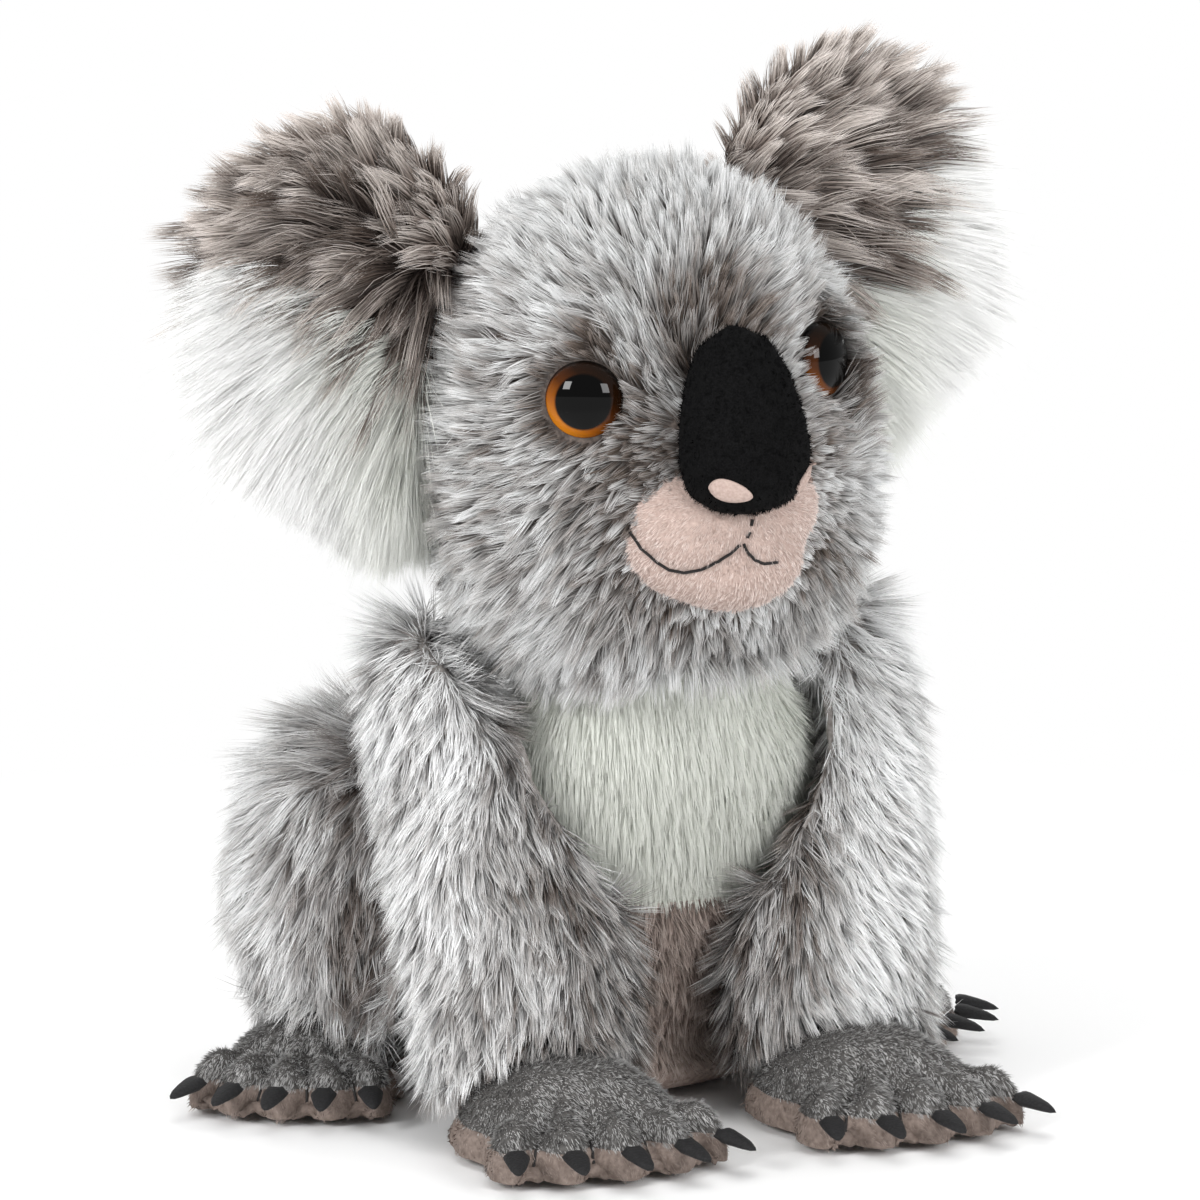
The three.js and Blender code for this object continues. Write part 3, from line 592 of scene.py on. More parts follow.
grow_pile(
    "back_pile", back, "torso", limb_pile, 20000, limb_length, downwards,
    lean=upright, tone=0.08, hidden=[*LIMB_NODES, *HEAD_NODES], seed=11,
)
grow_pile(
    "bib_pile", bib, "torso", white_pile, 38000, bib_length, downwards, lean=70,
    width=0.2 * MM, tuft=4, pull=0.05, tousle=0.05, curl=0.03, vary=0.03,
    tone=lambda points, facing: 0.5 + 0.15 * fade(points[:, 2], 90 * MM, 55 * MM),
    hidden=[*LIMB_NODES, *HEAD_NODES], seed=12,
)
# The belly's darker tone is painted shade between the arms
grow_pile(
    "belly_pile", belly, "torso", beige_shaded_pile, 8000, 5 * MM, downwards, tone=0.5,
    hidden=LIMB_NODES, seed=13,
)
grow_pile(
    "seat_pile", seat, "torso", beige_shaded_pile, 5000, 2.4 * MM, downwards,
    keep=lambda points, facing: facing[:, 2] > -0.6, seed=14,
)


# Filling
# Loose fibre in the torso, head, arms and haunches, pushed in by hand, so its surface is lumpy.
# None of it shows while the seams hold.
fibre = grained("fibre", "#dfe1e2", "#fafafa", 2.5 * MM, 0.8 * MM, **{"Sheen Weight": 0.4})
FILLINGS = {
    "torso_stuffing": "torso",
    "head_stuffing": "head",
    "arm_stuffing_right": "arm_right",
    "arm_stuffing_left": "arm_left",
    "haunch_stuffing_right": "leg_right",
    "haunch_stuffing_left": "leg_left",
}
LUMP_SIZE = 14 * MM
for node, body in FILLINGS.items():
    wad = wrapped([merged(node)], 2.6 * MM)
    smooth(wad, 2)
    places = np.array([vert.co[:] for vert in wad.verts])
    # No lump comes through the cloth round it
    lumps = np.minimum(-2.8 + 0.8 * ripple(places, LUMP_SIZE, 5), -2.2)
    for vert, lump in zip(wad.verts, lumps):
        vert.co += vert.normal * lump * MM
    piece = new_piece(f"{node}_wad", wad, body, fibre, [node])


# Seat weight
# A bag of thin cloth, filled with plastic pellets that press through it as small bumps. It lies
# loose in the foot of the torso and keeps the heavy head upright.
bag_cloth = grained(
    "bag_cloth", "#d8d4cc", "#f2efe9", 3.2 * MM, 0.7 * MM, "TexVoronoi", span=(0, 1),
)
bag = wrapped([merged("seat_bean_bag")], 2.2 * MM)
smooth(bag, 3)
push(bag, -1.6 * MM)
piece = new_piece("pellet_bag", bag, "torso", bag_cloth, ["seat_bean_bag"])


# Neck
# White cloth gathered by a thread into a shallow cup, which closes the top of the torso and lies
# under the head.
NECK = Vector((0, -16, 100)) * MM
GATHERS = 34
lining = wrapped([merged("neck_lining")], 1.3 * MM)
smooth(lining, 3)
push(lining, -0.3 * MM)
for vert in lining.verts:
    out = vert.co - NECK
    turn = math.atan2(out.y, out.x)
    level = math.hypot(out.x, out.y) / out.length
    vert.co = NECK + out * (1 + 0.012 * level * math.sin(GATHERS * turn))
piece = new_piece("neck_gather", lining, "neck", white_backing, ["neck_lining"])


# Head
# A grey face panel in frosted pile, combed away from the nose and the eyes, and a brown-grey
# panel behind the crown. The whole head leans to the toy's right.
HEAD_TILT = Matrix.Rotation(math.radians(-6), 4, "Y")
HEAD_CENTRE = Vector((0, -28, 148.5)) * MM


def in_head(across, forward, up):
    """A place in the head, in mm from its centre before it leans"""
    return NECK + HEAD_TILT @ (HEAD_CENTRE + Vector((across, -forward, up)) * MM - NECK)


def ball(place, radius):
    bm = bmesh.new()
    bmesh.ops.create_icosphere(bm, subdivisions=3, radius=radius, matrix=Matrix.Translation(place))
    return bm


EYE_PLACE = (27, 26, 12)
EYE_TURN = math.radians(30)
eyes = {hand: in_head(side * EYE_PLACE[0], *EYE_PLACE[1:]) for hand, side in SIDES.items()}
eye_ways = {
    hand: HEAD_TILT @ Vector((side * math.sin(EYE_TURN), -math.cos(EYE_TURN), 0))
    for hand, side in SIDES.items()
}
HEAD_AXES = np.array([(HEAD_TILT @ Vector(axis))[:] for axis in ((1, 0, 0), (0, 0, 1))])
MUZZLE = in_head(0, 38, -16)
NOSE = in_head(0, 38, 4)
crown_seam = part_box("head_back_panel")[0].y


def head_depth(place):
    """The pile is short round the muzzle, and there is none in the hollow over the neck"""
    if (place - NECK).length < 33 * MM and place.z < NECK.z + 32 * MM:
        return 0.8 * MM
    eye = min((place - eye).length for eye in eyes.values())
    near_mouth = 1 - min(max(((place - MUZZLE).length / MM - 20) / 14, 0), 1)
    near_eye = 1 - min(max((eye / MM - 9) / 8, 0), 1)
    return (4.8 - 3.4 * near_mouth - 1.0 * near_eye * (1 - near_mouth)) * MM


# The socket of each eye is filled, so that the backing closes behind it
plugs = [ball(eyes[hand] - eye_ways[hand] * 6 * MM, 11.5 * MM) for hand in eyes]
head_form = stuffed(["face_panel", "head_back_panel", "head_stuffing"], 2.2 * MM, head_depth, plugs)
head_cut = Vector((0, crown_seam, 0))
face = side_of(head_form, (head_cut, FORWARD))
nape = side_of(head_form, (head_cut, -FORWARD))

BROWN_PALE = [(0, "#5e524b"), (0.35, "#8d8078"), (0.7, "#c8bfb8"), (1, "#f6eee9")]
BROWN_DARK = [(0, "#1a1310"), (0.5, "#362b25"), (0.8, "#594c44"), (1, "#a99d94")]
brown_pile = pile_finish("brown_pile", BROWN_PALE, BROWN_DARK)
brown_backing = grained("brown_backing", "#2f2622", "#574a44")
new_cloth("face_cloth", face, "head", grey_backing, "face_panel")
new_cloth("nape_cloth", nape, "head", brown_backing, "head_back_panel")

# Brown-grey patches on the face: place in the head, radius in mm and strength
FACE_PATCHES = [
    ((2, 35, 22), 13, 1.0), ((4, 32, 31), 9, 0.6), ((-25, 29, 22), 7, 1.0), ((25, 29, 24), 6, 0.6),
    ((-18, 35, -1), 10, 0.8), ((18, 35, -1), 9, 0.6), ((-16, 35, 12), 7, 0.6),
    ((-33, 25, 20), 5, 0.75), ((-34, 6, 40), 5, 0.65), ((-35, 15, 32), 5, 0.65),
    ((-35, 22, 25), 4, 0.65), ((36, 24, 4), 11, 0.95), ((30, 24, 21), 6, 0.7),
    ((27, 31, -3), 8, 0.6), ((-22, 30, -30), 9, 0.6), ((-26, 30, -20), 8, 0.6),
    ((23, 32, -29), 9, 0.8), ((17, 27, -41), 7, 0.5), ((-3, 28, -41), 5, 0.6),
    ((-12, 28, -38), 5, 0.6), ((-27, 32, -9), 9, 0.7), ((-45, 16, -20), 15, 0.3),
    ((-48, 0, -8), 12, 0.5), ((-44, -8, 34), 14, 0.9), ((44, -8, 34), 14, 0.9),
]


def face_tone(points, facing):
    """Frosted, with painted light that makes it paler towards the crown, dark patches and dark
    rings round the eyes
    """
    tone = 0.2 + 0.12 * ripple(points, 32 * MM, 3) + 0.14 * ripple(points, 9 * MM, 4)
    # Paler towards the crown: painted light from above
    tone -= 0.16 * fade(points[:, 2], 165 * MM, 195 * MM)
    places = [(in_head(*place), *rest) for place, *rest in FACE_PATCHES]
    tone = np.maximum(tone, patches(points, places))
    for eye, strength in zip(eyes.values(), (0.9, 0.45)):
        tone = np.maximum(tone, strength * (1 - fade(distance_to(points, eye), 9 * MM, 12.5 * MM)))
    return tone


def beside_far_eye(points):
    """Which places lie on the outer side of the far eye, whose pile half covers it"""
    return (points - np.array(eyes["left"])) @ HEAD_AXES[0] > 1 * MM


def from_nose(points, facing):
    """Away from the nose, the lips and the eyes, but in over the far eye from beside it"""
    way = unit(points - np.array(NOSE))
    for hand, eye in eyes.items():
        over = beside_far_eye(points)[:, None] & (hand == "left")
        near = np.exp(-(distance_to(points, eye) / (13 * MM)) ** 2)[:, None]
        way += np.where(over, -9.0, 0.5) * unit(points - np.array(eye)) * near
    near = np.exp(-(distance_to(points, MUZZLE) / (26 * MM)) ** 4)[:, None]
    way += 1.4 * unit(points - np.array(MUZZLE)) * near
    return way + np.array([0, 0.15, -0.15])


def face_length(points, facing):
    """Short at the lips and the near eye, long beside the far one and under the chin"""
    mouth = fade(distance_to(points, MUZZLE), 20 * MM, 36 * MM)
    eye = np.minimum.reduce([distance_to(points, eye) for eye in eyes.values()])
    beard = fade(points[:, 2], 130 * MM, 110 * MM)
    change = np.where(beside_far_eye(points), 0.35, -0.75)
    short = 1 + change * (1 - fade(eye, 8 * MM, 17 * MM))
    return (3.2 + 6 * mouth * short + 2.5 * beard * mouth) * MM


def face_lean(points, facing):
    """It stands up beside the far eye, enough to reach over it"""
    return 55 - 22 * (1 - fade(distance_to(points, eyes["left"]), 12 * MM, 18 * MM))


def on_face(points, facing):
    """No pile under the eyes"""
    off = [distance_to(points, eyes[hand] + eye_ways[hand] * 2 * MM) for hand in eyes]
    return np.minimum.reduce(off) > 8.4 * MM


EAR_NODES = [f"ear_{part}_{hand}" for part in ("front", "back") for hand in SIDES]
grow_pile(
    "face_pile", face, "head", grey_pile, 108000, face_length, from_nose,
    lean=face_lean, tone=face_tone, width=0.25 * MM, vary=0.2, tuft=16, pull=0.55,
    hidden=["muzzle", "nose", "neck_lining", "torso_stuffing", *EAR_NODES], keep=on_face, seed=21,
)
grow_pile(
    "nape_pile", nape, "head", brown_pile, 21000, 11 * MM, downwards, tone=0.3,
    hidden=EAR_NODES, seed=22,
)


# Ears
# Two flaps that stand out from the sides of the head: long white pile in front and below, and
# long brown-grey pile above and behind, which sweeps from the root of the ear and falls over.
EAR_PLACE = Vector((60, -17, 24.5))
EAR_HALF = Vector((35, 13, 50))
EAR_HINGE = 41
EAR_SLOPE = math.radians(32)
SHRINK = Vector((0.84, 0.4, 0.84))
HEAD_FROM_WORLD = Matrix.Translation(NECK - HEAD_CENTRE) @ HEAD_TILT.inverted()
HEAD_FROM_WORLD @= Matrix.Translation(-NECK)
# How far round the seam between front and back of each ear is turned to the side
SEAM_TURNS = {"right": -0.5, "left": 0.9}
snow_pile = pile_finish(
    "snow_pile", [(0, "#eeefea"), (0.4, "#fafaf8"), (1, "#ffffff")],
    [(0, "#ced1c7"), (0.4, "#dddfd7"), (1, "#ebede6")], skin=0.97, tip=0.85,
)


def ear_flap(hand, side):
    """The ear as the thin flap under its pile, with its root run back to the head's backing"""
    flap = wrapped([merged(f"ear_front_{hand}"), merged(f"ear_back_{hand}")], 1.8 * MM)
    smooth(flap, 4)
    for vert in flap.verts:
        across, back, up = HEAD_FROM_WORLD @ vert.co / MM
        across = side * (EAR_HINGE - 5 + (abs(across) - EAR_HINGE + 3) * SHRINK.x)
        forward = EAR_PLACE.y + (-back - EAR_PLACE.y) * SHRINK.y
        vert.co = in_head(across, forward, EAR_PLACE.z + (up - EAR_PLACE.z) * SHRINK.z)
    flap.normal_update()
    return flap


def grow_ear(hand, side, front, behind):
    """An ear's white pile, combed out and down from its root, and its brown pile from its crown"""
    root, crown, centre = (
        np.array(in_head(side * across, EAR_PLACE.y, EAR_PLACE.z + up))
        for across, up in ((EAR_HINGE - 4, -12), (EAR_HINGE - 12, 8), (EAR_PLACE.x, 0))
    )

    def outline(points):
        """0 at the middle of the ear and 1 where its longest tips end"""
        shares = (points - centre) @ HEAD_AXES.T / (np.array([EAR_HALF.x, EAR_HALF.z]) * MM)
        return np.linalg.norm(shares, axis=1)

    def sweep(points, facing):
        return unit(points - crown) + np.array([0, 0, -0.08])

    def hang(points, facing):
        return unit(points - root) + np.array([-side * 0.05, 0, -0.55])

    def length(points, facing):
        """As far as the outline, and short on the lower part of the outer rim"""
        low = fade((points - centre) @ HEAD_AXES[1], -8 * MM, -34 * MM)
        outer = fade(side * (points - centre) @ HEAD_AXES[0], -12 * MM, 8 * MM)
        full = np.minimum(5 * MM + np.maximum(1 - outline(points), 0) * 36 * MM, 21 * MM)
        return full * (1 - 0.6 * low * outer)

    def lean(points, facing):
        """Flat on the ear and straight out at its rim"""
        rim = np.clip((unit(points - root) * facing).sum(axis=1), 0, 1)
        return 72 - 55 * rim ** 1.5

    def below(points):
        """1 on the lower part of the ear, where the white pile hides the brown"""
        return fade((points - centre) @ HEAD_AXES[1], 4 * MM, -10 * MM)

    def back_length(points, facing):
        """Longer above and short below"""
        return length(points, facing) * (1 - 0.6 * below(points)) + 3.5 * MM * (1 - below(points))

    def back_tone(points, facing):
        return 0.7 - 0.65 * fade(outline(points), 0.45, 0.85)

    def front_painted_shade(points, facing):
        """Painted shade in a stripe beside the root"""
        off = np.abs((points - centre) @ HEAD_AXES[0] + side * 14 * MM)
        return 0.8 - 0.8 * fade(off, 0, 26 * MM)

    grow_pile(
        f"ear_front_pile_{hand}", front, f"ear_{hand}", snow_pile, 28000, length,
        hang, lean=lean, width=0.22 * MM, fall=0.15, tousle=0.05, pull=0.12, curl=0.04,
        tone=front_painted_shade, vary=0.05, seed=31,
    )
    grow_pile(
        f"ear_back_pile_{hand}", behind, f"ear_{hand}", brown_pile, 21000,
        back_length, sweep, lean=lean, rings=3, width=0.32 * MM, fall=0.2, tuft=34, pull=0.68,
        tousle=0.24, tone=back_tone, vary=0.34, seed=32,
        keep=lambda points, facing: below(points) < 0.5,
    )
    grow_pile(
        f"ear_rim_pile_{hand}", behind, f"ear_{hand}", snow_pile, 13000, back_length,
        hang, lean=lean, width=0.26 * MM, fall=0.15, tousle=0.08, pull=0.2, tone=0.3, vary=0.06,
        seed=33, keep=lambda points, facing: below(points) >= 0.5,
    )


for hand, side in SIDES.items():
    flap = ear_flap(hand, side)
    middle = in_head(side * EAR_PLACE.x, EAR_PLACE.y - 1.5, EAR_PLACE.z + 1)
    seam_way = Vector((SEAM_TURNS[hand], -math.cos(EAR_SLOPE), -math.sin(EAR_SLOPE)))
    seam_way = HEAD_TILT @ seam_way
    panels = []
    for part, way, colour, backing in (
        ("front", seam_way, "white_plush", white_backing),
        ("back", -seam_way, "brown_plush", brown_backing),
    ):
        panels.append(side_of(flap, (middle, way)))
        name, node = f"ear_{part}_cloth_{hand}", f"ear_{part}_{hand}"
        new_cloth(name, panels[-1], f"ear_{hand}", backing, node)
    grow_ear(hand, side, *panels)


# Arms
# Thick columns from the shoulders to the front paws, in the grey cloth of the back, whiter on their
# outer side and darker where they face the chest: partly the cloth's own grey, partly painted
# shade.

# Darker patches: place and radius in mm, and strength
ARM_PATCHES = [
    ((-38, -33, 80), 5, 0.75), ((-41, -44, 58), 5, 0.7), ((-47, -46, 36), 5, 0.65),
    ((22, -36, 57), 9, 0.9), ((12, -32, 38), 8, 0.85), ((28, -34, 76), 6, 0.75),
]


def arm_swell(place):
    """It swells towards the other arm over the paw"""
    share = min(max((place.z / MM - 8) / 75, 0), 1)
    return 5 * MM * max(math.sin(math.pi * share), 0) * max(1 - abs(place.x) / (40 * MM), 0)


def arm_tone_and_shade(side):
    """Pale outside and dark inside, more so on the near arm, with the patches of both; the dark
    inside is partly painted shade between arm and chest
    """
    def tone(points, facing):
        inwards = -side * facing[:, 0] - 1.2 * fade(points[:, 2], 74 * MM, 98 * MM)
        start, end = (-0.9, 0.4) if side < 0 else (-0.05, 0.5)
        base = 0.08 + 0.72 * fade(inwards, start, end) + 0.16 * ripple(points, 20 * MM, 8)
        places = [(np.array(place) * MM, *rest) for place, *rest in ARM_PATCHES]
        return np.maximum(base, patches(points, places))
    return tone


def dress_limb(part, body, form, count, tone, seed, hidden):
    """The cloth and the pile of a sleeve or a thigh"""
    hand = body.split("_")[1]
    node = f"{part}_skin_{hand}"
    new_cloth(f"{part}_cloth_{hand}", form, body, limb_backing, node)
    grow_pile(
        f"{part}_pile_{hand}", form, body, limb_pile, count, limb_length, downwards,
        lean=upright, tone=tone, vary=0.18, pull=0.5, tuft=11, hidden=hidden, seed=seed,
    )


for hand, side in SIDES.items():
    sleeve = stuffed([f"arm_skin_{hand}", f"arm_stuffing_{hand}"], 2 * MM, 4.2 * MM)
    smooth(sleeve, 12)
    push(sleeve, arm_swell)
    beside = ["back_panel", "face_panel", "head_back_panel", f"haunch_skin_{hand}"]
    beside += [f"front_paw_top_{hand}", f"haunch_stuffing_{hand}"]
    dress_limb("arm", f"arm_{hand}", sleeve, 42000, arm_tone_and_shade(side), 41, beside)


# Haunches
# Round thighs that bulge beside the arms, in the same grey cloth and pile. They are darkest where
# they face the arms, partly with painted shade between thigh and arm.
def haunch_tone_and_shade(points, facing):
    return 0.24 + 0.6 * fade(-facing[:, 1], 0.3, 0.8) + 0.16 * ripple(points, 20 * MM, 9)


for hand in SIDES:
    thigh = stuffed([f"haunch_skin_{hand}", f"haunch_stuffing_{hand}"], 2 * MM, 5.2 * MM)
    beside = ["back_panel", "chest_bib", "belly_panel", "seat_panel", "torso_stuffing"]
    beside += [f"arm_skin_{hand}", f"hind_paw_top_{hand}"]
    dress_limb("haunch", f"leg_{hand}", thigh, 30000, haunch_tone_and_shade, 51, beside)


# Paws
# Each paw has a short dark-grey top and a beige sole, sewn through between the toes. The pile
# lies forward along the toes and turns down over their ends.
# The pale set's near-white tips are painted glints of sheen
PAW_PALE_GLINTS = [(0, "#8f8d8b"), (0.5, "#bebdbc"), (1, "#f4f4f4")]
PAW_DARK = [(0, "#545250"), (0.5, "#767573"), (1, "#a5a4a2")]
# The sole's beige is darkened with painted shade, as the soles lie under the paws
SOLE_SHADED_PALE = [(0, "#7d6e67"), (1, "#b9aaa2")]
SOLE_SHADED_DARK = [(0, "#62554e"), (1, "#8f8178")]
paw_pile = pile_finish("paw_pile", PAW_PALE_GLINTS, PAW_DARK, roughness=0.5, skin=0.9, tip=0.75)
sole_pile = pile_finish("sole_pile", SOLE_SHADED_PALE, SOLE_SHADED_DARK)
paw_backing = grained("paw_backing", "#3a3837", "#5f5d5b")
sole_backing = grained("sole_backing", "#6f6159", "#8b7d75")
seam_thread = grained("seam_thread", "#161414", "#2c2928", 0.5 * MM, 0.1 * MM, Roughness=0.7)
# Limb, body, spread and forward of the paw's middle, half width and half length, and its turn
PAWS = [("front_paw", "arm", 34.5, 49, 26.5, 29, 2), ("hind_paw", "leg", 63, -20, 22, 25, 38)]
GROOVES = (-30, -10, 10, 30)
SEAM_LEVELS = [Vector((0, 0, 8.5 - 0.75 * step)) for step in range(11)]


def groove_end(angle, wide, long):
    """Where the seam between two toes leaves the paw, from its middle, in mm"""
    turn, reach = math.radians(angle), long - 5
    across = reach * wide / long * math.sin(turn) * math.sqrt(2)
    return Vector((across, -reach * math.cos(turn), 0))


def paw_sheen_tone(points, facing):
    """Paler on top than down the sides: painted sheen where light falls on top"""
    return 0.6 - 0.45 * fade(facing[:, 2], 0.2, 0.8)


def new_threads(name, lines, body, material, thickness, replaced=()):
    """Lines of sewing thread, each a thin tube along its points"""
    curve = bpy.data.curves.new(name, "CURVE")
    curve.dimensions = "3D"
    curve.bevel_depth = thickness / 2
    curve.bevel_resolution = 2
    curve.use_fill_caps = True
    for line in lines:
        spline = curve.splines.new("POLY")
        spline.points.add(len(line) - 1)
        for point, place in zip(spline.points, line):
            point.co = (*place, 1)
    place_piece(name, curve, body, material, replaced)


for limb, body, spread, forward, wide, long, turn in PAWS:
    for hand, side in SIDES.items():
        top, sole, rides = f"{limb}_top_{hand}", f"{limb}_sole_{hand}", f"{body}_{hand}"
        place = Matrix.Translation(Vector((side * spread, -forward, 0)) * MM)
        place @= Matrix.Rotation(math.radians(side * turn), 4, "Z")
        paw = stuffed([top, sole], 1.2 * MM, 1.5 * MM)
        seams = [groove_end(angle, wide, long) for angle in GROOVES]
        for vert in paw.verts:
            local = place.inverted() @ vert.co / MM
            for seam in seams:
                share = local.dot(seam) / seam.length_squared
                off = (local - seam * share).to_2d().length
                deep = 2.8 * math.exp(-((off / 1.7) ** 2)) * min(max((share - 0.4) / 0.35, 0), 1)
                vert.co -= vert.normal * deep * MM
        smooth(paw, 1)
        skin = bvhtree.BVHTree.FromBMesh(paw)
        lines = []
        for seam in seams:
            line = []
            for level in SEAM_LEVELS:
                start = place @ ((seam * 1.7 + level) * MM)
                inwards = (place @ (level * MM) - start).normalized()
                found = skin.ray_cast(start, inwards)[0]
                line += [found] if found is not None else []
            lines.append(line)
        new_threads(
            f"{limb}_seams_{hand}", lines, rides, seam_thread, 0.7 * MM,
        )
        sole_cut = Vector((0, 0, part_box(sole)[1].z))
        upper = side_of(paw, (sole_cut, UP))
        lower = side_of(paw, (sole_cut, -UP))
        new_cloth(f"{top}_cloth", upper, rides, paw_backing, top)
        new_cloth(f"{sole}_cloth", lower, rides, sole_backing, sole)
        ahead = np.array([*(place.to_3x3() @ Vector((0, -1, 0))).to_2d(), -0.5])
        grow_pile(
            f"{top}_pile", upper, rides, paw_pile, 15000, 2 * MM, ahead, lean=62,
            width=0.2 * MM, tuft=5, pull=0.1, tousle=0.1, tone=paw_sheen_tone, vary=0.14, seed=61,
            hidden=[f"arm_skin_{hand}" if body == "arm" else f"haunch_skin_{hand}"],
        )
        grow_pile(
            f"{sole}_pile", lower, rides, sole_pile, 5000, 1.8 * MM, ahead, lean=66,
            width=0.22 * MM, tuft=6, pull=0.3, tousle=0.2, tone=0.4, seed=62,
            keep=lambda points, facing: facing[:, 2] > -0.35,
        )


# Claws
# Five flat points of charcoal felt on each paw, sewn between top and sole.
felt = grained("claw_felt", "#0b0b0c", "#1d1c1e", 0.5 * MM, 0.15 * MM, Roughness=0.8)
# How far a claw grows again after its rounding
CLAW_GROWTH = 0.15 * MM
for limb, body in (("front_paw", "arm"), ("hind_paw", "leg")):
    for hand in SIDES:
        for toe in range(1, 6):
            node = f"{limb}_claw_{hand}_{toe}"
            claw = merged(node)
            bmesh.ops.triangulate(claw, faces=claw.faces)
            bmesh.ops.subdivide_edges(claw, edges=claw.edges, cuts=1, use_grid_fill=True)
            smooth(claw, 1)
            push(claw, CLAW_GROWTH)
            piece = new_piece(f"{node}_felt", claw, f"{body}_{hand}", felt, [node])


# Muzzle
# One pad of very short pinkish plush, full over the lips and the chin. It meets the grey face
# in a ring of longer pile, and the mouth's thread draws shallow creases in it.
MUZZLE_PALE = [(0, "#bda59b"), (0.5, "#dcc9c1"), (1, "#f8f0ec")]
MUZZLE_DARK = [(0, "#a08a80"), (1, "#c9b5ac")]
muzzle_pile = pile_finish("muzzle_pile", MUZZLE_PALE, MUZZLE_DARK)
muzzle_backing = grained("muzzle_backing", "#a8938a", "#bda89f", 0.6 * MM, 0.12 * MM)
# Lips and chin: place in the head and half size, in mm
MUZZLE_PADS = [
    ((9, 27, -15), (12, 16, 11)), ((-9, 27, -15), (12, 16, 11)), ((0, 31, -25.5), (15.5, 13.5, 10)),
    ((-3, 31, -17.5), (21, 12.5, 16.2)),
]


def dense(line, step=0.7):
    """The same line with points about one step apart"""
    points = []
    for a, b in zip(line, line[1:]):
        a, b = Vector(a), Vector(b)
        count = max(round((b - a).length / step), 1)
        points += [a.lerp(b, share / count) for share in range(count)]
    return [*points, Vector(line[-1])]


# The near and far half of the mouth and the seam up to the nose: across and up in the head, in mm
near_smile = dense([
    (-23, -13.6), (-22.4, -15.2), (-21.2, -18.5), (-18.9, -21.4), (-16.7, -23.3), (-14, -24.2),
    (-11.1, -24), (-8.1, -22.9), (-4.6, -21.1), (-3, -20),
])
far_smile = dense([(-2.2, -19.9), (-1.7, -21.8), (-0.5, -23.5), (1.4, -24.6), (4.5, -24.9)])
lip_seam = dense([(0.4, -12.5), (0.2, -15.3), (-0.6, -17.8), (-2.2, -19.8)])
pads = [merged("muzzle")]
for place, half in MUZZLE_PADS:
    pad = bmesh.new()
    turned = Matrix.Translation(in_head(*place)) @ HEAD_TILT @ Matrix.Diagonal((*half, 1 / MM)) * MM
    bmesh.ops.create_icosphere(pad, subdivisions=4, radius=1, matrix=turned)
    pads.append(pad)
lips = wrapped(pads, 0.8 * MM)
smooth(lips, 14)
push(lips, -0.5 * MM)
mouth = [*near_smile, *far_smile, *lip_seam]
creases = kdtree.KDTree(len(mouth))
for index, point in enumerate(mouth):
    creases.insert((point.x, 0, point.y), index)
creases.balance()


def crease(place):
    """A shallow fold under the thread, on the front of the lips"""
    across, back, up = HEAD_FROM_WORLD @ place / MM
    near = creases.find((across, 0, up))[2]
    return -0.75 * MM * math.exp(-((near / 1.5) ** 2)) if back < -30 else 0


push(lips, crease)
piece = new_piece("muzzle_cloth", lips, "head", muzzle_backing, ["muzzle"])


def from_lips(points, facing):
    """Out over the lips from under the nose, and down over the chin"""
    return unit(points - np.array(in_head(0, 44, -10))) + np.array([0, 0, -0.25])


grow_pile(
    "muzzle_pile", lips, "head", muzzle_pile, 20000, 1.7 * MM, from_lips, lean=60,
    width=0.19 * MM, tuft=6, pull=0.3, tousle=0.14, tone=0.35, vary=0.16, seed=81,
    keep=lambda points, facing: facing[:, 1] < 0.5,
)


# Mouth
# Dark embroidery thread: one curve under each lip, and a line of short stitches from between
# them up to the nose.
thread_twist = grained(
    "thread_twist", "#0c0a0a", "#2a2524", 0.5 * MM, 0.2 * MM, "TexWave", (0.4, 0.6), Roughness=0.6,
)
skin = bvhtree.BVHTree.FromBMesh(lips)


def on_lips(point, lift):
    """A point of the mouth laid on the muzzle, seen from in front of it"""
    start = in_head(point.x * 1.25, 80, point.y)
    found, facing = skin.ray_cast(start, (in_head(point.x, 30, point.y) - start).normalized())[:2]
    return found + facing * lift if found is not None else None


def laid(line, lift=0.35 * MM):
    return [place for place in (on_lips(point, lift) for point in line) if place is not None]


STITCH = 3
starts = range(0, len(lip_seam) - STITCH, STITCH + 1)
stitches = [laid(lip_seam[start:start + STITCH]) for start in starts]
new_threads(
    "mouth_thread", [laid(near_smile), laid(far_smile), *stitches], "head",
    thread_twist, 0.62 * MM, ["mouth_stitching"],
)


# Nose
# A tall pad of black velour over foam, and two beige patches set in under its front edge.
velour = grained(
    "velour", "#050505", "#121213", 0.35 * MM, 0.12 * MM, **{"Specular IOR Level": 0.1},
)
velour_pile = pile_finish(
    "velour_pile", [(0, "#020202"), (1, "#161617")], [(0, "#020202"), (1, "#060606")],
    roughness=0.8, specular=0.05,
)
pad = wrapped([merged("nose")], 0.9 * MM)
smooth(pad, 8)
push(pad, -0.3 * MM)
piece = new_piece("nose_pad", pad, "head", velour, ["nose"])
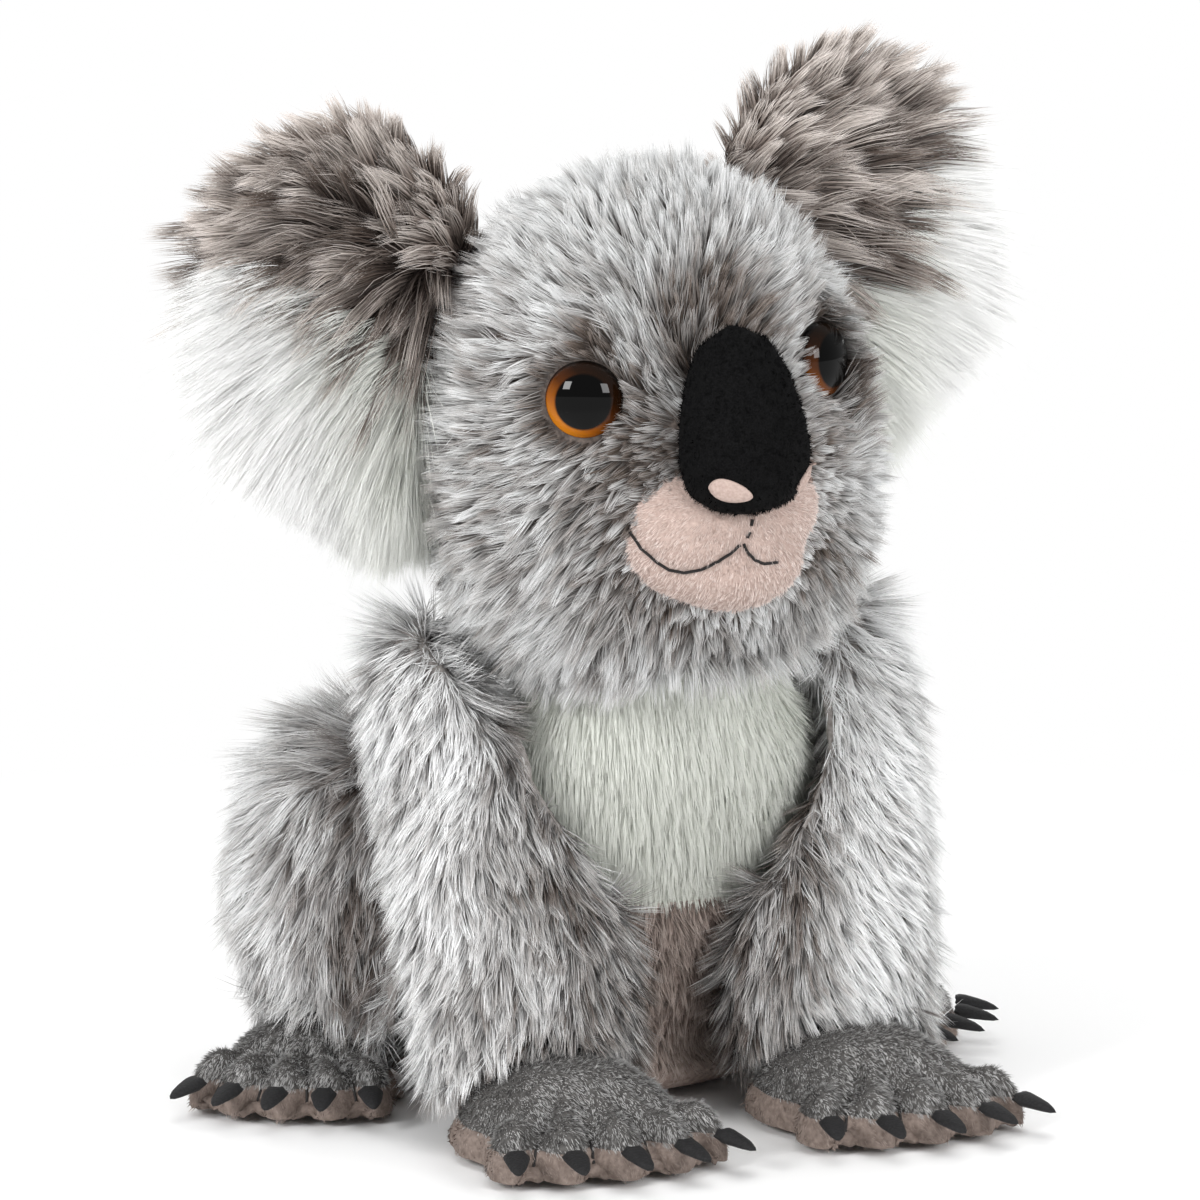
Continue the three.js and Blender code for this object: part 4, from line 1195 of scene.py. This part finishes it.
# Where the two patches lie on the pad: across and up in the head, in mm
NOSTRILS = {"right": (-7.7, -7.2), "left": (10.5, -7.6)}
NOSTRIL_HALF = (3.6, 2.1)
pad_skin = bvhtree.BVHTree.FromBMesh(pad)
nostrils = []
for hand, (across, up) in NOSTRILS.items():
    side = math.copysign(1, across)
    patch = bmesh.new()
    bmesh.ops.create_grid(patch, x_segments=14, y_segments=10, size=1)
    for vert in patch.verts:
        wide = vert.co.x * math.sqrt(1 - vert.co.y ** 2 / 2)
        high = vert.co.y * math.sqrt(1 - vert.co.x ** 2 / 2) * (1 - 0.3 * wide) - 0.65 * wide
        place = (across - side * wide * NOSTRIL_HALF[0], up + high * NOSTRIL_HALF[1])
        found, facing = pad_skin.ray_cast(in_head(place[0], 80, place[1]), HEAD_TILT @ -FORWARD)[:2]
        if found is None:
            found, facing = pad_skin.find_nearest(in_head(place[0], 48, place[1]))[:2]
        vert.co = found + facing * 0.55 * MM
    patch.normal_update()
    if sum(face.normal.y for face in patch.faces) > 0:
        bmesh.ops.reverse_faces(patch, faces=patch.faces)
    nostrils.append(np.array([vert.co[:] for vert in patch.verts]).mean(axis=0))
    new_cloth(
        f"nostril_cloth_{hand}", patch, "head", muzzle_backing,
        f"nostril_patch_{hand}",
    )


def off_nostrils(points, facing):
    """No black pile on the two patches"""
    return np.minimum.reduce([distance_to(points, place) for place in nostrils]) > 3 * MM


grow_pile(
    "nose_velour", pad, "head", velour_pile, 7500, 1.3 * MM,
    lambda points, facing: unit(points - np.array(NOSE)), lean=45, width=0.2 * MM, tuft=5,
    pull=0.3, tousle=0.4, seed=71, keep=off_nostrils,
)


# Eyes
# Moulded domes of clear plastic over an amber iris and a black pupil, each with a stem through
# the cloth and a washer behind it.
EYE_RADIUS, EYE_DOME, STEM_RADIUS, STEM_LENGTH = 8.0, 5.0, 2.5, 17.0
PUPIL = 0.7
# The far iris lies in the shade of the pile over it
IRIS_LEVEL = {"right": 0.5, "left": 0.8}
EYE_FINISH = {
    "Roughness": 0.3, "Specular IOR Level": 0, "Coat Weight": 1, "Coat Roughness": 0.02,
    "Coat IOR": 1.27,
}
# The iris runs from amber with a painted glow to dark brown in painted shade
IRIS_GLOW_TO_SHADE = [(0, "#c87a18"), (0.25, "#8f4d0b"), (0.5, "#46230a"), (0.75, "#1d0e05"), (1, "#120904")]
eye_material, tree, inputs = new_finish("eye_plastic", EYE_FINISH)
spread = add_node(tree, "Attribute", "Fac", attribute_name="spread")
height = add_node(tree, "Attribute", "Fac", attribute_name="height")
pupil = ramp_of(tree, spread, [(PUPIL - 0.01, "#000000"), (PUPIL + 0.05, "#ffffff")])
colours = {0: pupil, 6: paint("#000000"), 7: ramp_of(tree, height, IRIS_GLOW_TO_SHADE)}
iris = add_node(tree, "Mix", 2, colours, data_type="RGBA")
rim = ramp_of(tree, spread, [(0.93, "#ffffff"), (0.99, "#3c2c22")])
edged = add_node(tree, "Mix", 2, {0: 1, 6: iris, 7: rim}, data_type="RGBA", blend_type="MULTIPLY")
tree.links.new(edged, inputs["Base Color"])

# The outline of stem, flat back and dome, turned about its own line into the whole eye
DOME_STEPS = 20
profile = [(0, -STEM_LENGTH), (STEM_RADIUS, -STEM_LENGTH), (STEM_RADIUS, -0.4)]
profile.append((EYE_RADIUS * 0.96, -0.2))
for step in range(DOME_STEPS + 1):
    turn = math.pi / 2 * step / DOME_STEPS
    profile.append((EYE_RADIUS * math.cos(turn), EYE_DOME * math.sin(turn)))
washer_plastic = grained(
    "washer_plastic", "#d9dadb", "#eeeeee", 4 * MM, 0.02 * MM, span=(0, 1), Roughness=0.35,
)
for hand in SIDES:
    eye = bmesh.new()
    corners = [eye.verts.new(Vector((radius, 0, along)) * MM) for radius, along in profile]
    outline = [eye.edges.new(pair) for pair in zip(corners, corners[1:])]
    bmesh.ops.spin(
        eye, geom=[*corners, *outline], cent=(0, 0, 0), axis=(0, 0, 1), angle=2 * math.pi,
        steps=64, use_merge=True,
    )
    bmesh.ops.remove_doubles(eye, verts=eye.verts, dist=0.005 * MM)
    bmesh.ops.recalc_face_normals(eye, faces=eye.faces)
    outwards = eye_ways[hand]
    turn = outwards.to_track_quat("Z", "Y").to_matrix().to_4x4()
    bmesh.ops.transform(eye, matrix=Matrix.Translation(eyes[hand]) @ turn, verts=eye.verts)
    piece = new_piece(f"eye_dome_{hand}", eye, "head", eye_material, [f"eye_{hand}"])
    # Painted light on the iris: a painted glow below, and painted shade upwards and to one side
    up = HEAD_TILT @ UP
    shaded = (up * 0.7 - outwards.cross(up) * 0.7).normalized()
    offsets = np.array([(vert.co - eyes[hand])[:] for vert in piece.data.vertices])
    flat = offsets - np.outer(offsets @ np.array(outwards), np.array(outwards))
    flat /= EYE_RADIUS * MM
    add_facts(
        piece.data, spread=np.linalg.norm(flat, axis=1),
        height=IRIS_LEVEL[hand] + 0.5 * (flat @ np.array(shaded)),
    )
    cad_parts[f"eye_washer_{hand}"].data.materials[0] = washer_plastic
